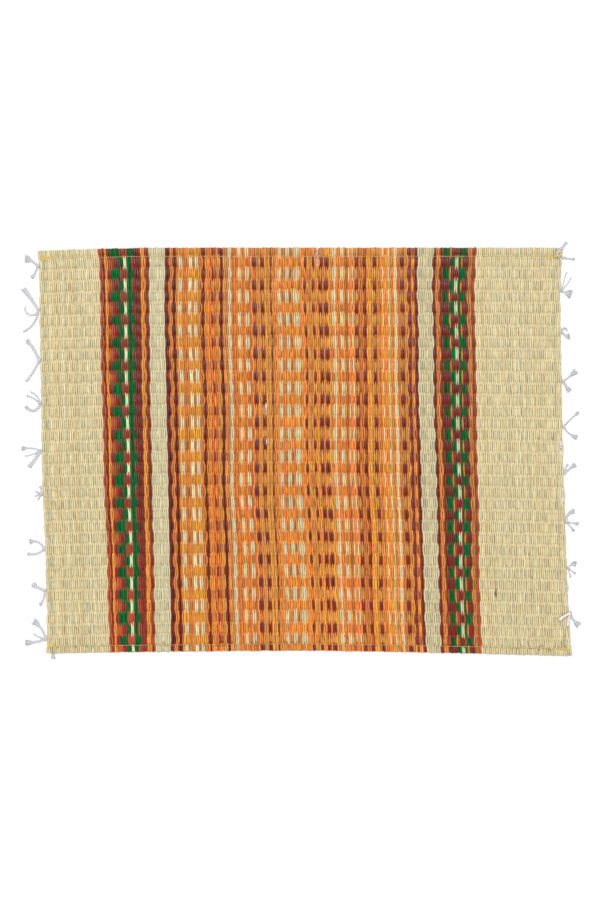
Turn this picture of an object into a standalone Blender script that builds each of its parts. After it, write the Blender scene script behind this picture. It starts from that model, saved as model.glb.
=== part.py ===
"""A woven reed placemat that lies flat.

One ribbed mat of reeds is held by thirty-six cotton warps. The warp ends leave
the mat at both sides and are knotted together in small bunches, so each side
has nine tassels. One short pair of thread ends shows under the lower edge.

The origin is on the underside, at the middle of the whole thing. +X runs along
the warps, +Y runs along the reeds and +Z is up. Lengths in the tables are in
millimetres and angles are in degrees, turned from +X towards +Y.
"""
import math
from collections import namedtuple

import bmesh
import bpy

MM = 0.001

# Mat
WARPS = 36
WARP_PITCH = 9.94
REED_LENGTH = 350.0
FIRST_WARP_INSET = 2.6
LAST_WARP_INSET = 2.5
RIB_HEIGHT = 2.4
SHOULDER_HEIGHT = 2.15
VALLEY_HEIGHT = 1.75
CUT_END_HEIGHT = 1.6
UNEVENNESS = 0.1
SWELL_ACROSS = (9.0, 17.0)
SWELL_DOWN = (4.0, -7.0)
MAT_COLUMNS = 10
QUARTER = 0.25

# Side edges from the far end to the near end: the mat leans and wanders a little
SideEdge = namedtuple("SideEdge", "y left right")
SIDE_EDGES = [
    SideEdge(174.5, -227.0, 227.2),
    SideEdge(158.0, -225.4, 226.0),
    SideEdge(137.0, -225.2, 224.8),
    SideEdge(116.0, -225.0, 225.4),
    SideEdge(85.0, -224.6, 225.8),
    SideEdge(43.0, -223.7, 226.5),
    SideEdge(2.0, -223.3, 227.1),
    SideEdge(-30.0, -222.8, 228.0),
    SideEdge(-50.0, -222.0, 229.0),
    SideEdge(-82.0, -220.2, 230.0),
    SideEdge(-123.0, -219.4, 231.4),
    SideEdge(-165.0, -218.5, 233.8),
    SideEdge(-178.0, -218.4, 235.0),
]

# Cut ends of the reeds from the left side to the right side
CutEnd = namedtuple("CutEnd", "x far near")
CUT_ENDS = [
    CutEnd(-226.0, 172.4, -176.2),
    CutEnd(-200.0, 173.4, -175.6),
    CutEnd(-167.0, 174.3, -175.0),
    CutEnd(-134.0, 175.1, -174.6),
    CutEnd(-4.0, 175.1, -173.4),
    CutEnd(68.0, 175.1, -174.3),
    CutEnd(152.0, 175.1, -176.0),
    CutEnd(234.0, 175.1, -178.2),
]

# Cotton
CLEARANCE = 0.3
KNOT_RADIUS = 1.4
KNOT_HEIGHT = 2.7
KNOT_CROWN = 0.6
TALL_KNOT_HEIGHT = 4.4
TAIL_THICKNESS = 1.1
TIP_THICKNESS = 0.7
TAIL_CROWN = 0.7
ON_MAT = RIB_HEIGHT + UNEVENNESS + CLEARANCE
DROP_RUN = 3.5
ARM_WIDTH = 0.6
ARM_LEAN = 42.0
ARM_REACH = 2.4
MAX_TURN = 24.0
MAX_STEP = 6.0
WIDEST_FACET = 45.0
FACET_MARGIN = 2.0
STRAND_FILL = 0.72
SHORTER_STRAND = 0.94
WIDEST_FACET_SINE = 0.9

# One row for each knot. side is -1 left and 1 right, inset is how far the knot
# sits in on the mat, or 0 beside it. The arms are the gathered warp ends that
# run along the edge to the knot from above and from below.
Knot = namedtuple("Knot", "name side y inset height arm_far arm_near")
KNOTS = [
    Knot("tassel_left_1", -1, 159.1, 0.0, KNOT_HEIGHT, 4.0, 12.0),
    Knot("tassel_left_2", -1, 121.4, 0.0, KNOT_HEIGHT, 11.0, 13.0),
    Knot("tassel_left_3", -1, 77.2, 0.0, KNOT_HEIGHT, 14.0, 12.0),
    Knot("tassel_left_4", -1, 40.3, 0.0, KNOT_HEIGHT, 12.0, 13.0),
    Knot("tassel_left_5", -1, -0.4, 0.0, KNOT_HEIGHT, 12.0, 13.0),
    Knot("tassel_left_6", -1, -38.1, 0.0, KNOT_HEIGHT, 11.0, 15.0),
    Knot("tassel_left_7", -1, -85.8, 0.0, KNOT_HEIGHT, 17.0, 10.0),
    Knot("tassel_left_8", -1, -121.8, 0.0, KNOT_HEIGHT, 13.0, 13.0),
    Knot("tassel_left_9", -1, -163.9, 0.0, KNOT_HEIGHT, 16.0, 5.0),
    Knot("tassel_right_1", 1, 170.2, 4.4, KNOT_HEIGHT, 0.0, 0.0),
    Knot("tassel_right_2", 1, 137.9, 0.0, KNOT_HEIGHT, 12.0, 13.0),
    Knot("tassel_right_3", 1, 101.9, 0.0, KNOT_HEIGHT, 12.0, 13.0),
    Knot("tassel_right_4", 1, 59.6, 0.0, KNOT_HEIGHT, 14.0, 12.0),
    Knot("tassel_right_5", 1, 20.1, 0.0, KNOT_HEIGHT, 12.0, 14.0),
    Knot("tassel_right_6", 1, -19.9, 0.0, KNOT_HEIGHT, 13.0, 16.0),
    Knot("tassel_right_7", 1, -62.4, 0.0, KNOT_HEIGHT, 14.0, 12.0),
    Knot("tassel_right_8", 1, -102.1, 0.0, KNOT_HEIGHT, 12.0, 13.0),
    Knot("tassel_right_9", 1, -140.9, 0.0, TALL_KNOT_HEIGHT, 13.0, 16.0),
]

# One row for each tail of a knot. It leaves the knot at its heading and turns
# evenly by curl over its length. Past split its strands part and fan out to
# the width of the fan. lift is the height that it leaves at, and it comes down
# to the floor past over.
Tail = namedtuple("Tail", "heading length curl width split fan strands lift over")
TAILS = {
    "tassel_left_1": [
        Tail(130, 13.5, 45, 1.9, 7.5, 7.5, 4, 0, 0),
        Tail(250, 11.5, -18, 1.6, 7.0, 3.8, 2, 0, 0),
    ],
    "tassel_left_2": [
        Tail(122, 23.0, 6, 2.2, 10.5, 4.6, 3, 0, 0),
        Tail(244, 19.5, -182, 0.9, 16.0, 1.2, 1, 0, 0),
        Tail(264, 24.5, -62, 0.8, 15.0, 1.0, 1, 0, 0),
    ],
    "tassel_left_3": [
        Tail(108, 21.5, 28, 2.2, 16.5, 5.0, 3, 0, 0),
        Tail(245, 21.5, -15, 1.7, 17.0, 2.6, 2, 0, 0),
    ],
    "tassel_left_4": [
        Tail(101, 13.7, 62, 1.0, 11.5, 2.0, 2, 0, 0),
        Tail(135, 13.7, 34, 1.0, 11.5, 2.0, 2, 0, 0),
        Tail(258, 17.2, -148, 1.9, 13.5, 3.6, 3, 0, 0),
    ],
    "tassel_left_5": [
        Tail(160, 17.0, 34, 1.0, 13.0, 4.6, 3, 0, 0),
        Tail(212, 15.0, -30, 0.7, 12.0, 1.2, 1, 0, 0),
        Tail(242, 18.0, -14, 2.5, 13.5, 4.2, 3, 0, 0),
    ],
    "tassel_left_6": [
        Tail(84, 7.2, 46, 0.9, 4.8, 2.4, 2, 0, 0),
        Tail(156, 5.6, 0, 0.8, 3.4, 1.4, 1, 0, 0),
        Tail(198, 6.0, 0, 0.8, 3.4, 1.8, 2, 0, 0),
        Tail(240, 5.8, 0, 0.8, 3.4, 1.4, 1, 0, 0),
    ],
    "tassel_left_7": [
        Tail(112, 16.2, 96, 1.5, 12.5, 5.2, 3, 0, 0),
        Tail(222, 15.8, -58, 1.4, 11.5, 3.0, 2, 0, 0),
    ],
    "tassel_left_8": [
        Tail(158, 12.5, -14, 2.0, 7.0, 4.8, 4, 0, 0),
        Tail(268, 14.0, -38, 1.4, 10.5, 3.2, 3, 0, 0),
    ],
    "tassel_left_9": [
        Tail(105, 19.5, 42, 1.7, 13.0, 6.4, 4, 0, 0),
        Tail(165, 12.0, -16, 0.6, 9.0, 1.0, 1, 0, 0),
        Tail(199, 18.5, -20, 1.6, 11.0, 5.4, 3, 0, 0),
    ],
    "tassel_right_1": [
        Tail(51, 13.5, -6, 1.6, 11.0, 3.2, 2, ON_MAT, 7.6),
        Tail(326, 16.8, 38, 1.2, 14.0, 3.2, 2, ON_MAT, 6.2),
    ],
    "tassel_right_2": [
        Tail(78, 17.0, -8, 0.8, 15.0, 1.6, 2, 0, 0),
        Tail(48, 15.0, 10, 0.8, 13.0, 1.6, 2, 0, 0),
        Tail(338, 9.4, 2, 1.6, 4.2, 8.6, 5, 0, 0),
    ],
    "tassel_right_3": [
        Tail(98, 9.0, -210, 0.8, 7.4, 1.0, 1, 0, 0),
        Tail(308, 7.8, 62, 1.3, 4.2, 6.4, 4, 0, 0),
    ],
    "tassel_right_4": [
        Tail(35, 15.0, 6, 1.3, 8.0, 5.8, 2, 0, 0),
        Tail(300, 11.0, 8, 2.0, 6.0, 4.8, 4, 0, 0),
    ],
    "tassel_right_5": [
        Tail(50, 18.2, -12, 1.3, 15.0, 3.6, 3, 0, 0),
        Tail(302, 15.5, 42, 1.3, 10.5, 5.0, 4, 0, 0),
    ],
    "tassel_right_6": [
        Tail(40, 12.0, -4, 1.6, 6.5, 5.2, 4, 0, 0),
        Tail(84, 8.4, -36, 0.8, 5.6, 2.4, 2, 0, 0),
    ],
    "tassel_right_7": [
        Tail(94, 13.2, -90, 1.5, 6.5, 5.0, 4, 0, 0),
        Tail(351, 10.8, 0, 0.9, 6.5, 3.6, 3, 0, 0),
        Tail(309, 10.6, 0, 0.9, 7.2, 3.2, 3, 0, 0),
    ],
    "tassel_right_8": [
        Tail(52, 8.8, -70, 1.1, 4.2, 5.6, 4, 0, 0),
        Tail(318, 8.4, 8, 0.8, 5.4, 2.2, 2, 0, 0),
        Tail(282, 8.8, 6, 0.8, 6.0, 2.0, 2, 0, 0),
    ],
    "tassel_right_9": [
        Tail(205, 12.0, 18, 1.8, 7.6, 3.4, 3, ON_MAT, 99.0),
        Tail(250, 12.4, 18, 1.3, 8.0, 2.8, 2, ON_MAT, 99.0),
        Tail(287, 14.4, 40, 1.8, 8.4, 6.0, 4, 0, 0),
    ],
}

# The short pair of thread ends under the lower edge, near the left corner
THREAD_END_X = -214.2
THREAD_END_RADIUS = 0.9
THREAD_END_HEIGHT = 1.3
THREAD_END_TAILS = [Tail(278, 5.2, -14, 1.2, 2.0, 2.6, 2, 0, 0)]

REED_COLOUR = (0.62, 0.47, 0.25, 1.0)
REED_ROUGHNESS = 0.6
COTTON_COLOUR = (0.82, 0.82, 0.84, 1.0)
COTTON_ROUGHNESS = 0.9


def clear_scene():
    for thing in list(bpy.data.objects):
        bpy.data.objects.remove(thing, do_unlink=True)


def make_material(name, colour, roughness):
    material = bpy.data.materials.new(name)
    material.use_nodes = True
    surface = material.node_tree.nodes["Principled BSDF"]
    surface.inputs["Base Color"].default_value = colour
    surface.inputs["Roughness"].default_value = roughness
    surface.inputs["Metallic"].default_value = 0.0
    material.diffuse_color = colour
    return material


def add_object(name, bm, material):
    """Make an object of a closed bmesh whose points are in millimetres."""
    bmesh.ops.recalc_face_normals(bm, faces=bm.faces)
    bmesh.ops.scale(bm, vec=(MM, MM, MM), verts=bm.verts)
    mesh = bpy.data.meshes.new(name)
    bm.to_mesh(mesh)
    bm.free()
    mesh.materials.append(material)
    thing = bpy.data.objects.new(name, mesh)
    bpy.context.collection.objects.link(thing)
    return thing


def between(low, high, share):
    return low + (high - low) * share


def ease(share):
    share = min(1.0, max(0.0, share))
    return share * share * (3.0 - 2.0 * share)


def read_table(rows, key, column, where):
    """A column of a table at a place between two rows, in either direction."""
    ordered = sorted(rows, key=lambda row: getattr(row, key))
    before = ordered[0]
    for row in ordered:
        if getattr(row, key) >= where:
            span = getattr(row, key) - getattr(before, key)
            share = (where - getattr(before, key)) / span if span else 0.0
            return between(getattr(before, column), getattr(row, column), share)
        before = row
    return getattr(ordered[-1], column)


def edge_x(side, y):
    return read_table(SIDE_EDGES, "y", "left" if side < 0 else "right", y)


# Mat

def row_lines():
    """Distances from the far cut end, each with the height of the top there."""
    lines = [(0.0, CUT_END_HEIGHT)]
    warps = [FIRST_WARP_INSET + WARP_PITCH * k for k in range(WARPS - 1)]
    warps.append(REED_LENGTH - LAST_WARP_INSET)
    for here, after in zip(warps, warps[1:]):
        step = after - here
        lines.append((here, RIB_HEIGHT))
        lines.append((here + step * QUARTER, SHOULDER_HEIGHT))
        lines.append((here + step * 2.0 * QUARTER, VALLEY_HEIGHT))
        lines.append((here + step * 3.0 * QUARTER, SHOULDER_HEIGHT))
    lines.append((warps[-1], RIB_HEIGHT))
    lines.append((REED_LENGTH, CUT_END_HEIGHT))
    return lines


def mat_point(across, down):
    """A place on the mat: across from left to right, down from far to near."""
    level = between(CUT_ENDS[-1].far, CUT_ENDS[-1].near, down)
    x = between(edge_x(-1, level), edge_x(1, level), across)
    far = read_table(CUT_ENDS, "x", "far", x)
    near = read_table(CUT_ENDS, "x", "near", x)
    y = between(far, near, down)
    x = between(edge_x(-1, y), edge_x(1, y), across)
    return x, y


def swell(across, down):
    """The slow rise and fall of the reeds, in parts of UNEVENNESS."""
    waves = zip(SWELL_ACROSS, SWELL_DOWN)
    return 0.5 * sum(math.sin(wide * across + deep * down) for wide, deep in waves)


def build_mat(material):
    bm = bmesh.new()
    lines = row_lines()
    top = []
    for distance, height in lines:
        down = distance / REED_LENGTH
        row = []
        for column in range(MAT_COLUMNS + 1):
            across = column / MAT_COLUMNS
            x, y = mat_point(across, down)
            row.append(bm.verts.new((x, y, height + UNEVENNESS * swell(across, down))))
        top.append(row)
    for above, below in zip(top, top[1:]):
        for column in range(MAT_COLUMNS):
            bm.faces.new((above[column], below[column], below[column + 1], above[column + 1]))
    rim = [row[0] for row in top]
    rim += top[-1][1:]
    rim += [row[-1] for row in reversed(top[:-1])]
    rim += list(reversed(top[0][1:-1]))
    foot = [bm.verts.new((vertex.co.x, vertex.co.y, 0.0)) for vertex in rim]
    for index in range(len(rim)):
        after = (index + 1) % len(rim)
        bm.faces.new((rim[index], rim[after], foot[after], foot[index]))
    bm.faces.new(foot)
    return add_object("mat", bm, material)


# Tassels

def along_tail(centre, radius, tail, distance):
    """Place and heading at a distance from the middle of the knot."""
    start = math.radians(tail.heading)
    straight = min(distance, radius)
    x = centre[0] + straight * math.cos(start)
    y = centre[1] + straight * math.sin(start)
    rest = distance - straight
    bend = math.radians(tail.curl) / (tail.length - radius)
    if abs(bend) < 1e-6:
        return x + rest * math.cos(start), y + rest * math.sin(start), start
    now = start + bend * rest
    x += (math.sin(now) - math.sin(start)) / bend
    y -= (math.cos(now) - math.cos(start)) / bend
    return x, y, now


def tail_height(tail, distance):
    """Underside of a tail: level, then down to the floor past the mat."""
    if not tail.lift:
        return 0.0
    return tail.lift * (1.0 - ease((distance - tail.over) / DROP_RUN))


def steps_between(start, end, tail, radius):
    turn = abs(tail.curl) * (end - start) / (tail.length - radius)
    count = max(1, math.ceil(turn / MAX_TURN), math.ceil((end - start) / MAX_STEP))
    if tail.lift and tail.over < end:
        count = max(count, 5)
    return [between(start, end, (index + 1) / count) for index in range(count)]


def station(bm, place, sideways, base, thickness):
    """Point pairs across a tail: sideways lists the offset of each pair."""
    x, y, heading = place
    left = (-math.sin(heading), math.cos(heading))
    pairs = []
    for offset in sideways:
        crown = offset * TAIL_CROWN
        low = bm.verts.new((x + left[0] * offset, y + left[1] * offset, base))
        high = bm.verts.new((x + left[0] * crown, y + left[1] * crown, base + thickness))
        pairs.append((low, high))
    return pairs


def join_pairs(bm, before, after):
    """Skin from one pair of edges to the next station's row of edges."""
    bm.faces.new((before[0][0], after[0][0], after[0][1], before[0][1]))
    bm.faces.new((before[1][1], after[-1][1], after[-1][0], before[1][0]))
    bm.faces.new([before[1][1], before[0][1]] + [pair[1] for pair in after])
    bm.faces.new([before[0][0], before[1][0]] + [pair[0] for pair in reversed(after)])


def grow_strand(bm, root, path, offsets, widths, bases):
    """One strand, from its root cell to a small flat tip."""
    before = root
    count = len(path)
    for index, place in enumerate(path):
        share = (index + 1) / count
        half = 0.5 * between(widths[0], widths[1], share)
        middle = between(offsets[0], offsets[1], share)
        x, y, heading = place
        moved = (x - math.sin(heading) * middle, y + math.cos(heading) * middle, heading)
        thickness = between(TAIL_THICKNESS, TIP_THICKNESS, share)
        pairs = station(bm, moved, (half, -half), bases[index], thickness)
        join_pairs(bm, before, pairs)
        before = pairs
    bm.faces.new((before[0][0], before[1][0], before[1][1], before[0][1]))


def grow_tail(bm, root, centre, radius, tail):
    """The twisted stem from the knot's facet, and its strands past the split."""
    before = root
    stem = steps_between(radius, tail.split, tail, radius)
    for distance in stem:
        place = along_tail(centre, radius, tail, distance)
        half = 0.5 * tail.width
        cells = tail.strands if distance == stem[-1] else 1
        sideways = [between(half, -half, index / cells) for index in range(cells + 1)]
        pairs = station(bm, place, sideways, tail_height(tail, distance), TAIL_THICKNESS)
        join_pairs(bm, before, pairs)
        before = pairs
    cell = tail.width / tail.strands
    tip = STRAND_FILL * tail.fan / tail.strands
    for index in range(tail.strands):
        spot = (index + 0.5) / tail.strands
        offsets = (between(0.5, -0.5, spot) * tail.width, between(0.5, -0.5, spot) * tail.fan)
        reach = tail.length * (SHORTER_STRAND if index % 2 else 1.0)
        distances = steps_between(tail.split, reach, tail, radius)
        path = [along_tail(centre, radius, tail, distance) for distance in distances]
        bases = [tail_height(tail, distance) for distance in distances]
        grow_strand(bm, before[index:index + 2], path, offsets, (cell, tip), bases)


def grow_arm(bm, root, centre, side, direction, reach):
    """A gathered warp end along the mat's edge, from the knot outwards."""
    before = root
    count = max(1, math.ceil((reach - ARM_REACH) / MAX_STEP))
    for index in range(count + 1):
        y = centre[1] + direction * between(ARM_REACH, reach, index / count)
        x = edge_x(side, y) + side * (CLEARANCE + 0.5 * ARM_WIDTH)
        half = 0.5 * ARM_WIDTH
        place = (x, y, direction * math.pi / 2.0)
        pairs = station(bm, place, (half, -half), 0.0, TAIL_THICKNESS)
        join_pairs(bm, before, pairs)
        before = pairs
    bm.faces.new((before[0][0], before[1][0], before[1][1], before[0][1]))


def facet_bounds(headings, widths, radius):
    """Start and end angle of each tail's facet, so that none overlap."""
    bounds = []
    total = len(headings)
    for index in range(total):
        half = math.degrees(math.asin(min(WIDEST_FACET_SINE, 0.5 * widths[index] / radius)))
        if total > 1:
            gap_after = (headings[(index + 1) % total] - headings[index]) % 360.0
            gap_before = (headings[index] - headings[index - 1]) % 360.0
            half = min(half, 0.5 * min(gap_after, gap_before) - FACET_MARGIN)
        bounds.append((headings[index] - half, headings[index] + half))
    return bounds


def build_knot(name, centre, radius, height, floor, tails, arms, material):
    """A knot with a facet for each tail and arm, which grow out of it."""
    bm = bmesh.new()
    growths = [(tail.heading % 360.0, tail.width, tail, None) for tail in tails]
    growths += [(heading % 360.0, ARM_WIDTH, None, arm) for heading, arm in arms]
    growths.sort(key=lambda growth: growth[0])
    bounds = facet_bounds([g[0] for g in growths], [g[1] for g in growths], radius)
    corners = []
    facets = []
    for index, (start, end) in enumerate(bounds):
        facets.append(len(corners))
        corners.append(start)
        follow = bounds[(index + 1) % len(bounds)][0]
        gap = (follow - end) % 360.0
        fillers = max(1, math.ceil(gap / WIDEST_FACET))
        corners += [end + gap * filler / fillers for filler in range(fillers)]
    levels = [floor, floor + TAIL_THICKNESS]
    lifts = sorted({tail.lift for tail in tails if tail.lift and floor < tail.lift})
    for lift in lifts:
        levels += [lift, lift + TAIL_THICKNESS]
    rings = []
    for level in levels + [floor + height]:
        scale = radius if level in levels else radius * KNOT_CROWN
        ring = []
        for corner in corners:
            turn = math.radians(corner)
            x = centre[0] + scale * math.cos(turn)
            y = centre[1] + scale * math.sin(turn)
            ring.append(bm.verts.new((x, y, level)))
        rings.append(ring)
    bm.faces.new(rings[0])
    bm.faces.new(rings[-1])
    left_open = set()
    for growth, facet in zip(growths, facets):
        tail = growth[2]
        band = levels.index(tail.lift) if tail and tail.lift in levels[1:] else 0
        left_open.add((band, facet))
    for band in range(len(rings) - 1):
        for corner in range(len(corners)):
            after = (corner + 1) % len(corners)
            if (band, corner) not in left_open:
                low, high = rings[band], rings[band + 1]
                bm.faces.new((low[corner], low[after], high[after], high[corner]))
    for growth, facet in zip(growths, facets):
        heading, width, tail, arm = growth
        band = levels.index(tail.lift) if tail and tail.lift in levels[1:] else 0
        after = (facet + 1) % len(corners)
        low, high = rings[band], rings[band + 1]
        root = [(low[after], high[after]), (low[facet], high[facet])]
        if tail:
            grow_tail(bm, root, centre, radius, tail)
        else:
            grow_arm(bm, root, centre, *arm)
    return add_object(name, bm, material)


def knot_centre(knot):
    edge = edge_x(knot.side, knot.y)
    if knot.inset:
        return edge - knot.side * knot.inset, knot.y
    return edge + knot.side * (CLEARANCE + KNOT_RADIUS), knot.y


def knot_arms(knot):
    """Headings lean back to the mat, and each arm has its side, way and reach."""
    arms = []
    for direction, reach in ((1, knot.arm_far), (-1, knot.arm_near)):
        if reach:
            heading = direction * (ARM_LEAN if knot.side < 0 else 180.0 - ARM_LEAN)
            arms.append((heading, (knot.side, direction, reach)))
    return arms


def build_tassels(material):
    for knot in KNOTS:
        floor = ON_MAT if knot.inset else 0.0
        tails = TAILS[knot.name]
        build_knot(knot.name, knot_centre(knot), KNOT_RADIUS, knot.height, floor, tails,
                   knot_arms(knot), material)


def build_thread_end(material):
    edge = read_table(CUT_ENDS, "x", "near", THREAD_END_X)
    centre = (THREAD_END_X, edge - CLEARANCE - THREAD_END_RADIUS)
    build_knot("thread_end", centre, THREAD_END_RADIUS, THREAD_END_HEIGHT, 0.0,
               THREAD_END_TAILS, [], material)


clear_scene()
build_mat(make_material("reeds", REED_COLOUR, REED_ROUGHNESS))
cotton = make_material("cotton", COTTON_COLOUR, COTTON_ROUGHNESS)
build_tassels(cotton)
build_thread_end(cotton)
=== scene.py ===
# %% [markdown]
# # A woven reed placemat, thread by thread
# The real mat is a traditional sheet of split sedge reeds. Dyed and plain reeds
# lie side by side, and thirty-six white cotton threads, the warps, cross them.
# Every reed passes over one warp and under the next, so the sheet shows rows of
# small barrels. The warp ends are knotted into tassels at both sides, and a
# yellow machine stitch keeps each cut end from coming apart.
#
# The whole thing could be one sheet with a painted pattern. Seen close, though,
# the light catches each barrel, the reeds part here and there, and the cotton
# shows through, so here every reed, warp, stitch and yarn is a real tube.
#
# The first step loads the measured model as a fixed frame to build around.

# %% Load the frame
import math
from collections import namedtuple

import bpy
import numpy as np
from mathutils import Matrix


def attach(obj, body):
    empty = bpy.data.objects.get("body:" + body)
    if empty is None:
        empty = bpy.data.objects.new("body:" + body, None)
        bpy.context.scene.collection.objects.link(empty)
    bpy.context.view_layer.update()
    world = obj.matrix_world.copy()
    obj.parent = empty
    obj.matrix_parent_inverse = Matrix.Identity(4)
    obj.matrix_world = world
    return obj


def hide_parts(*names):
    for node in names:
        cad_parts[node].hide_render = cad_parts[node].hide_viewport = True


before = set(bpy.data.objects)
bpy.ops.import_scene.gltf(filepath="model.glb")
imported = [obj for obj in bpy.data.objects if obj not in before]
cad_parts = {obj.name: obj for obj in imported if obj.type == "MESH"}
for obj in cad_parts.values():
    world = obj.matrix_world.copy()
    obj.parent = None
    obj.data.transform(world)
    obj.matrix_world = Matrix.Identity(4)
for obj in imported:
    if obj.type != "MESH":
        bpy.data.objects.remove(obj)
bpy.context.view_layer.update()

# %% [markdown]
# ## The outline of the mat
# A hand-made mat is never a true rectangle. This one leans to one side, and its
# two cut ends bow a little. A few measured places along each edge are enough:
# everything between them is read from the table. The stripes inside stray a
# little as well, so a second table says how far, for a few places across the
# mat and down it. All lengths are in millimetres, and they turn into metres
# only when a mesh is made.

# %% Outline
EDGE_Y = [-178, -165, -123, -82, -50, -30, 2, 43, 85, 116, 137, 158, 174.5]
EDGE_LEFT = [-218.4, -218.5, -219.4, -220.2, -222.0, -222.8, -223.3, -223.7, -224.6,
             -225.0, -225.2, -225.4, -227.0]
EDGE_RIGHT = [235.0, 233.8, 231.4, 230.0, 229.0, 228.0, 227.1, 226.5, 225.8, 225.4,
              224.8, 226.0, 227.2]
CUT_X = [-226, -200, -167, -134, -4, 68, 152, 234]
CUT_FAR = [172.4, 173.4, 174.3, 175.1, 175.1, 175.1, 175.1, 175.1]
CUT_NEAR = [-176.2, -175.6, -175.0, -174.6, -173.4, -174.3, -176.0, -178.2]


def edge_x(side, y):
    """Where the left (-1) or right (1) edge of the mat is."""
    return np.interp(y, EDGE_Y, EDGE_LEFT if side < 0 else EDGE_RIGHT)


def between(low, high, share):
    return low + (high - low) * share


def mat_point(across, down):
    """A place on the mat: across from left to right, down from far to near."""
    level = between(CUT_FAR[-1], CUT_NEAR[-1], down)
    x = between(edge_x(-1, level), edge_x(1, level), across)
    far = np.interp(x, CUT_X, CUT_FAR)
    near = np.interp(x, CUT_X, CUT_NEAR)
    y = between(far, near, down)
    return between(edge_x(-1, y), edge_x(1, y), across), y


# One row of shifts for each y, and one column for each place across.
LEAN_ACROSS = [0.0, 0.119, 0.208, 0.242, 0.5, 0.726, 0.757, 0.836, 1.0]
LEAN_Y = [-170, -130, -78, 0, 91, 163]
LEAN_SHIFT = [
    [0.0, 1.7, -0.8, -2.4, 0.0, -0.4, -1.0, -3.2, 0.0],
    [0.0, 1.4, -0.4, -1.2, 0.0, -0.7, -0.7, -1.9, 0.0],
    [0.0, 1.1, 0.5, -0.5, 0.0, -0.8, -0.6, -1.5, 0.0],
    [0.0, 1.0, 0.7, -0.1, 0.0, 0.3, 0.2, -0.3, 0.0],
    [0.0, 0.5, 1.3, -0.2, 0.0, -0.2, -0.3, 0.2, 0.0],
    [0.0, -0.5, 1.2, -0.1, 0.0, -1.0, -1.0, -1.0, 0.0],
]


def stripe_lean(across, y):
    """How far the stripes inside the mat stray from an even spread."""
    across, y = np.broadcast_arrays(across, y)
    levels = np.array([np.interp(across, LEAN_ACROSS, row) for row in LEAN_SHIFT])
    place = np.interp(y, LEAN_Y, range(len(LEAN_Y)))
    below = np.minimum(place.astype(int), len(LEAN_Y) - 2)
    share = place - below
    point = np.arange(len(across))
    return levels[below, point] * (1.0 - share) + levels[below + 1, point] * share


print("corner at the far left:", mat_point(0.0, 0.0))
print("corner at the near right:", mat_point(1.0, 1.0))

# %% [markdown]
# ## The rows of the warps
# The warps are almost evenly spaced, 9.94 mm apart along the reeds. Each one is
# a row of the weave. One set of reeds goes over the even rows, and the set that
# lies between them goes over the odd rows, which is plain weave.

# %% Rows
ROW_COUNT = 36
PITCH = 9.94
REED_LENGTH = 350.0
FIRST_ROW = 2.6
LAST_ROW = 347.5
ROWS = np.array([FIRST_ROW + PITCH * row for row in range(ROW_COUNT - 1)] + [LAST_ROW])
MIDDLES = (ROWS[1:] + ROWS[:-1]) / 2.0
print("rows:", len(ROWS), "first and last:", ROWS[0], ROWS[-1])

# %% [markdown]
# ## The order of the dyed reeds
# A mat maker lays the reeds in by count: so many plain ones, then two brown,
# one orange, and so on. The two lists below are that count, one for each set,
# read from left to right. Keeping it as words makes the pattern easy to read
# and easy to change, which a painted stripe never is.

# %% Reed count
SET_A = """30 straw, 2 rust, 1 wine, 1 orange, 2 maroon, 4 green, 4 brown,
3 green, 3 maroon, 1 orange, 1 amber, 2 brown, 9 straw, 2 wine, 2 orange, 1 wine,
1 orange, 1 amber, 1 tan, 1 amber, 2 orange, 1 tan, 4 orange, 2 amber, 2 maroon,
1 tan, 2 orange, 1 maroon, 1 rust, 2 orange, 2 maroon, 1 tan, 1 russet, 2 straw, 1 russet,
2 orange, 2 straw, 1 orange, 1 russet, 2 straw, 1 russet, 1 orange, 1 russet, 1 tan,
1 orange, 1 tan, 1 orange, 1 tan, 1 amber, 2 tan, 3 orange, 2 straw, 1 russet, 1 tan,
2 straw, 1 orange, 1 tan, 3 straw, 1 tan, 3 orange, 1 tan, 1 russet, 1 tan,
2 amber, 2 tan, 1 orange, 2 tan, 2 amber, 2 straw, 2 orange, 2 straw, 2 orange,
1 pale, 1 orange, 1 pale, 1 tan, 2 orange, 1 russet, 1 tan, 1 rust, 1 orange, 1 amber, 1 tan,
1 amber, 2 tan, 2 orange, 1 pale, 2 orange, 1 pale, 1 tan, 1 orange, 2 straw,
1 russet, 1 tan, 2 orange, 1 amber, 2 plum, 1 orange, 1 rust, 1 wine, 8 straw, 1 maroon,
2 orange, 2 brown, 3 green, 1 russet, 1 brown, 2 maroon, 1 brown, 3 green, 1 plum,
2 tan, 2 brown, 42 straw"""
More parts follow.
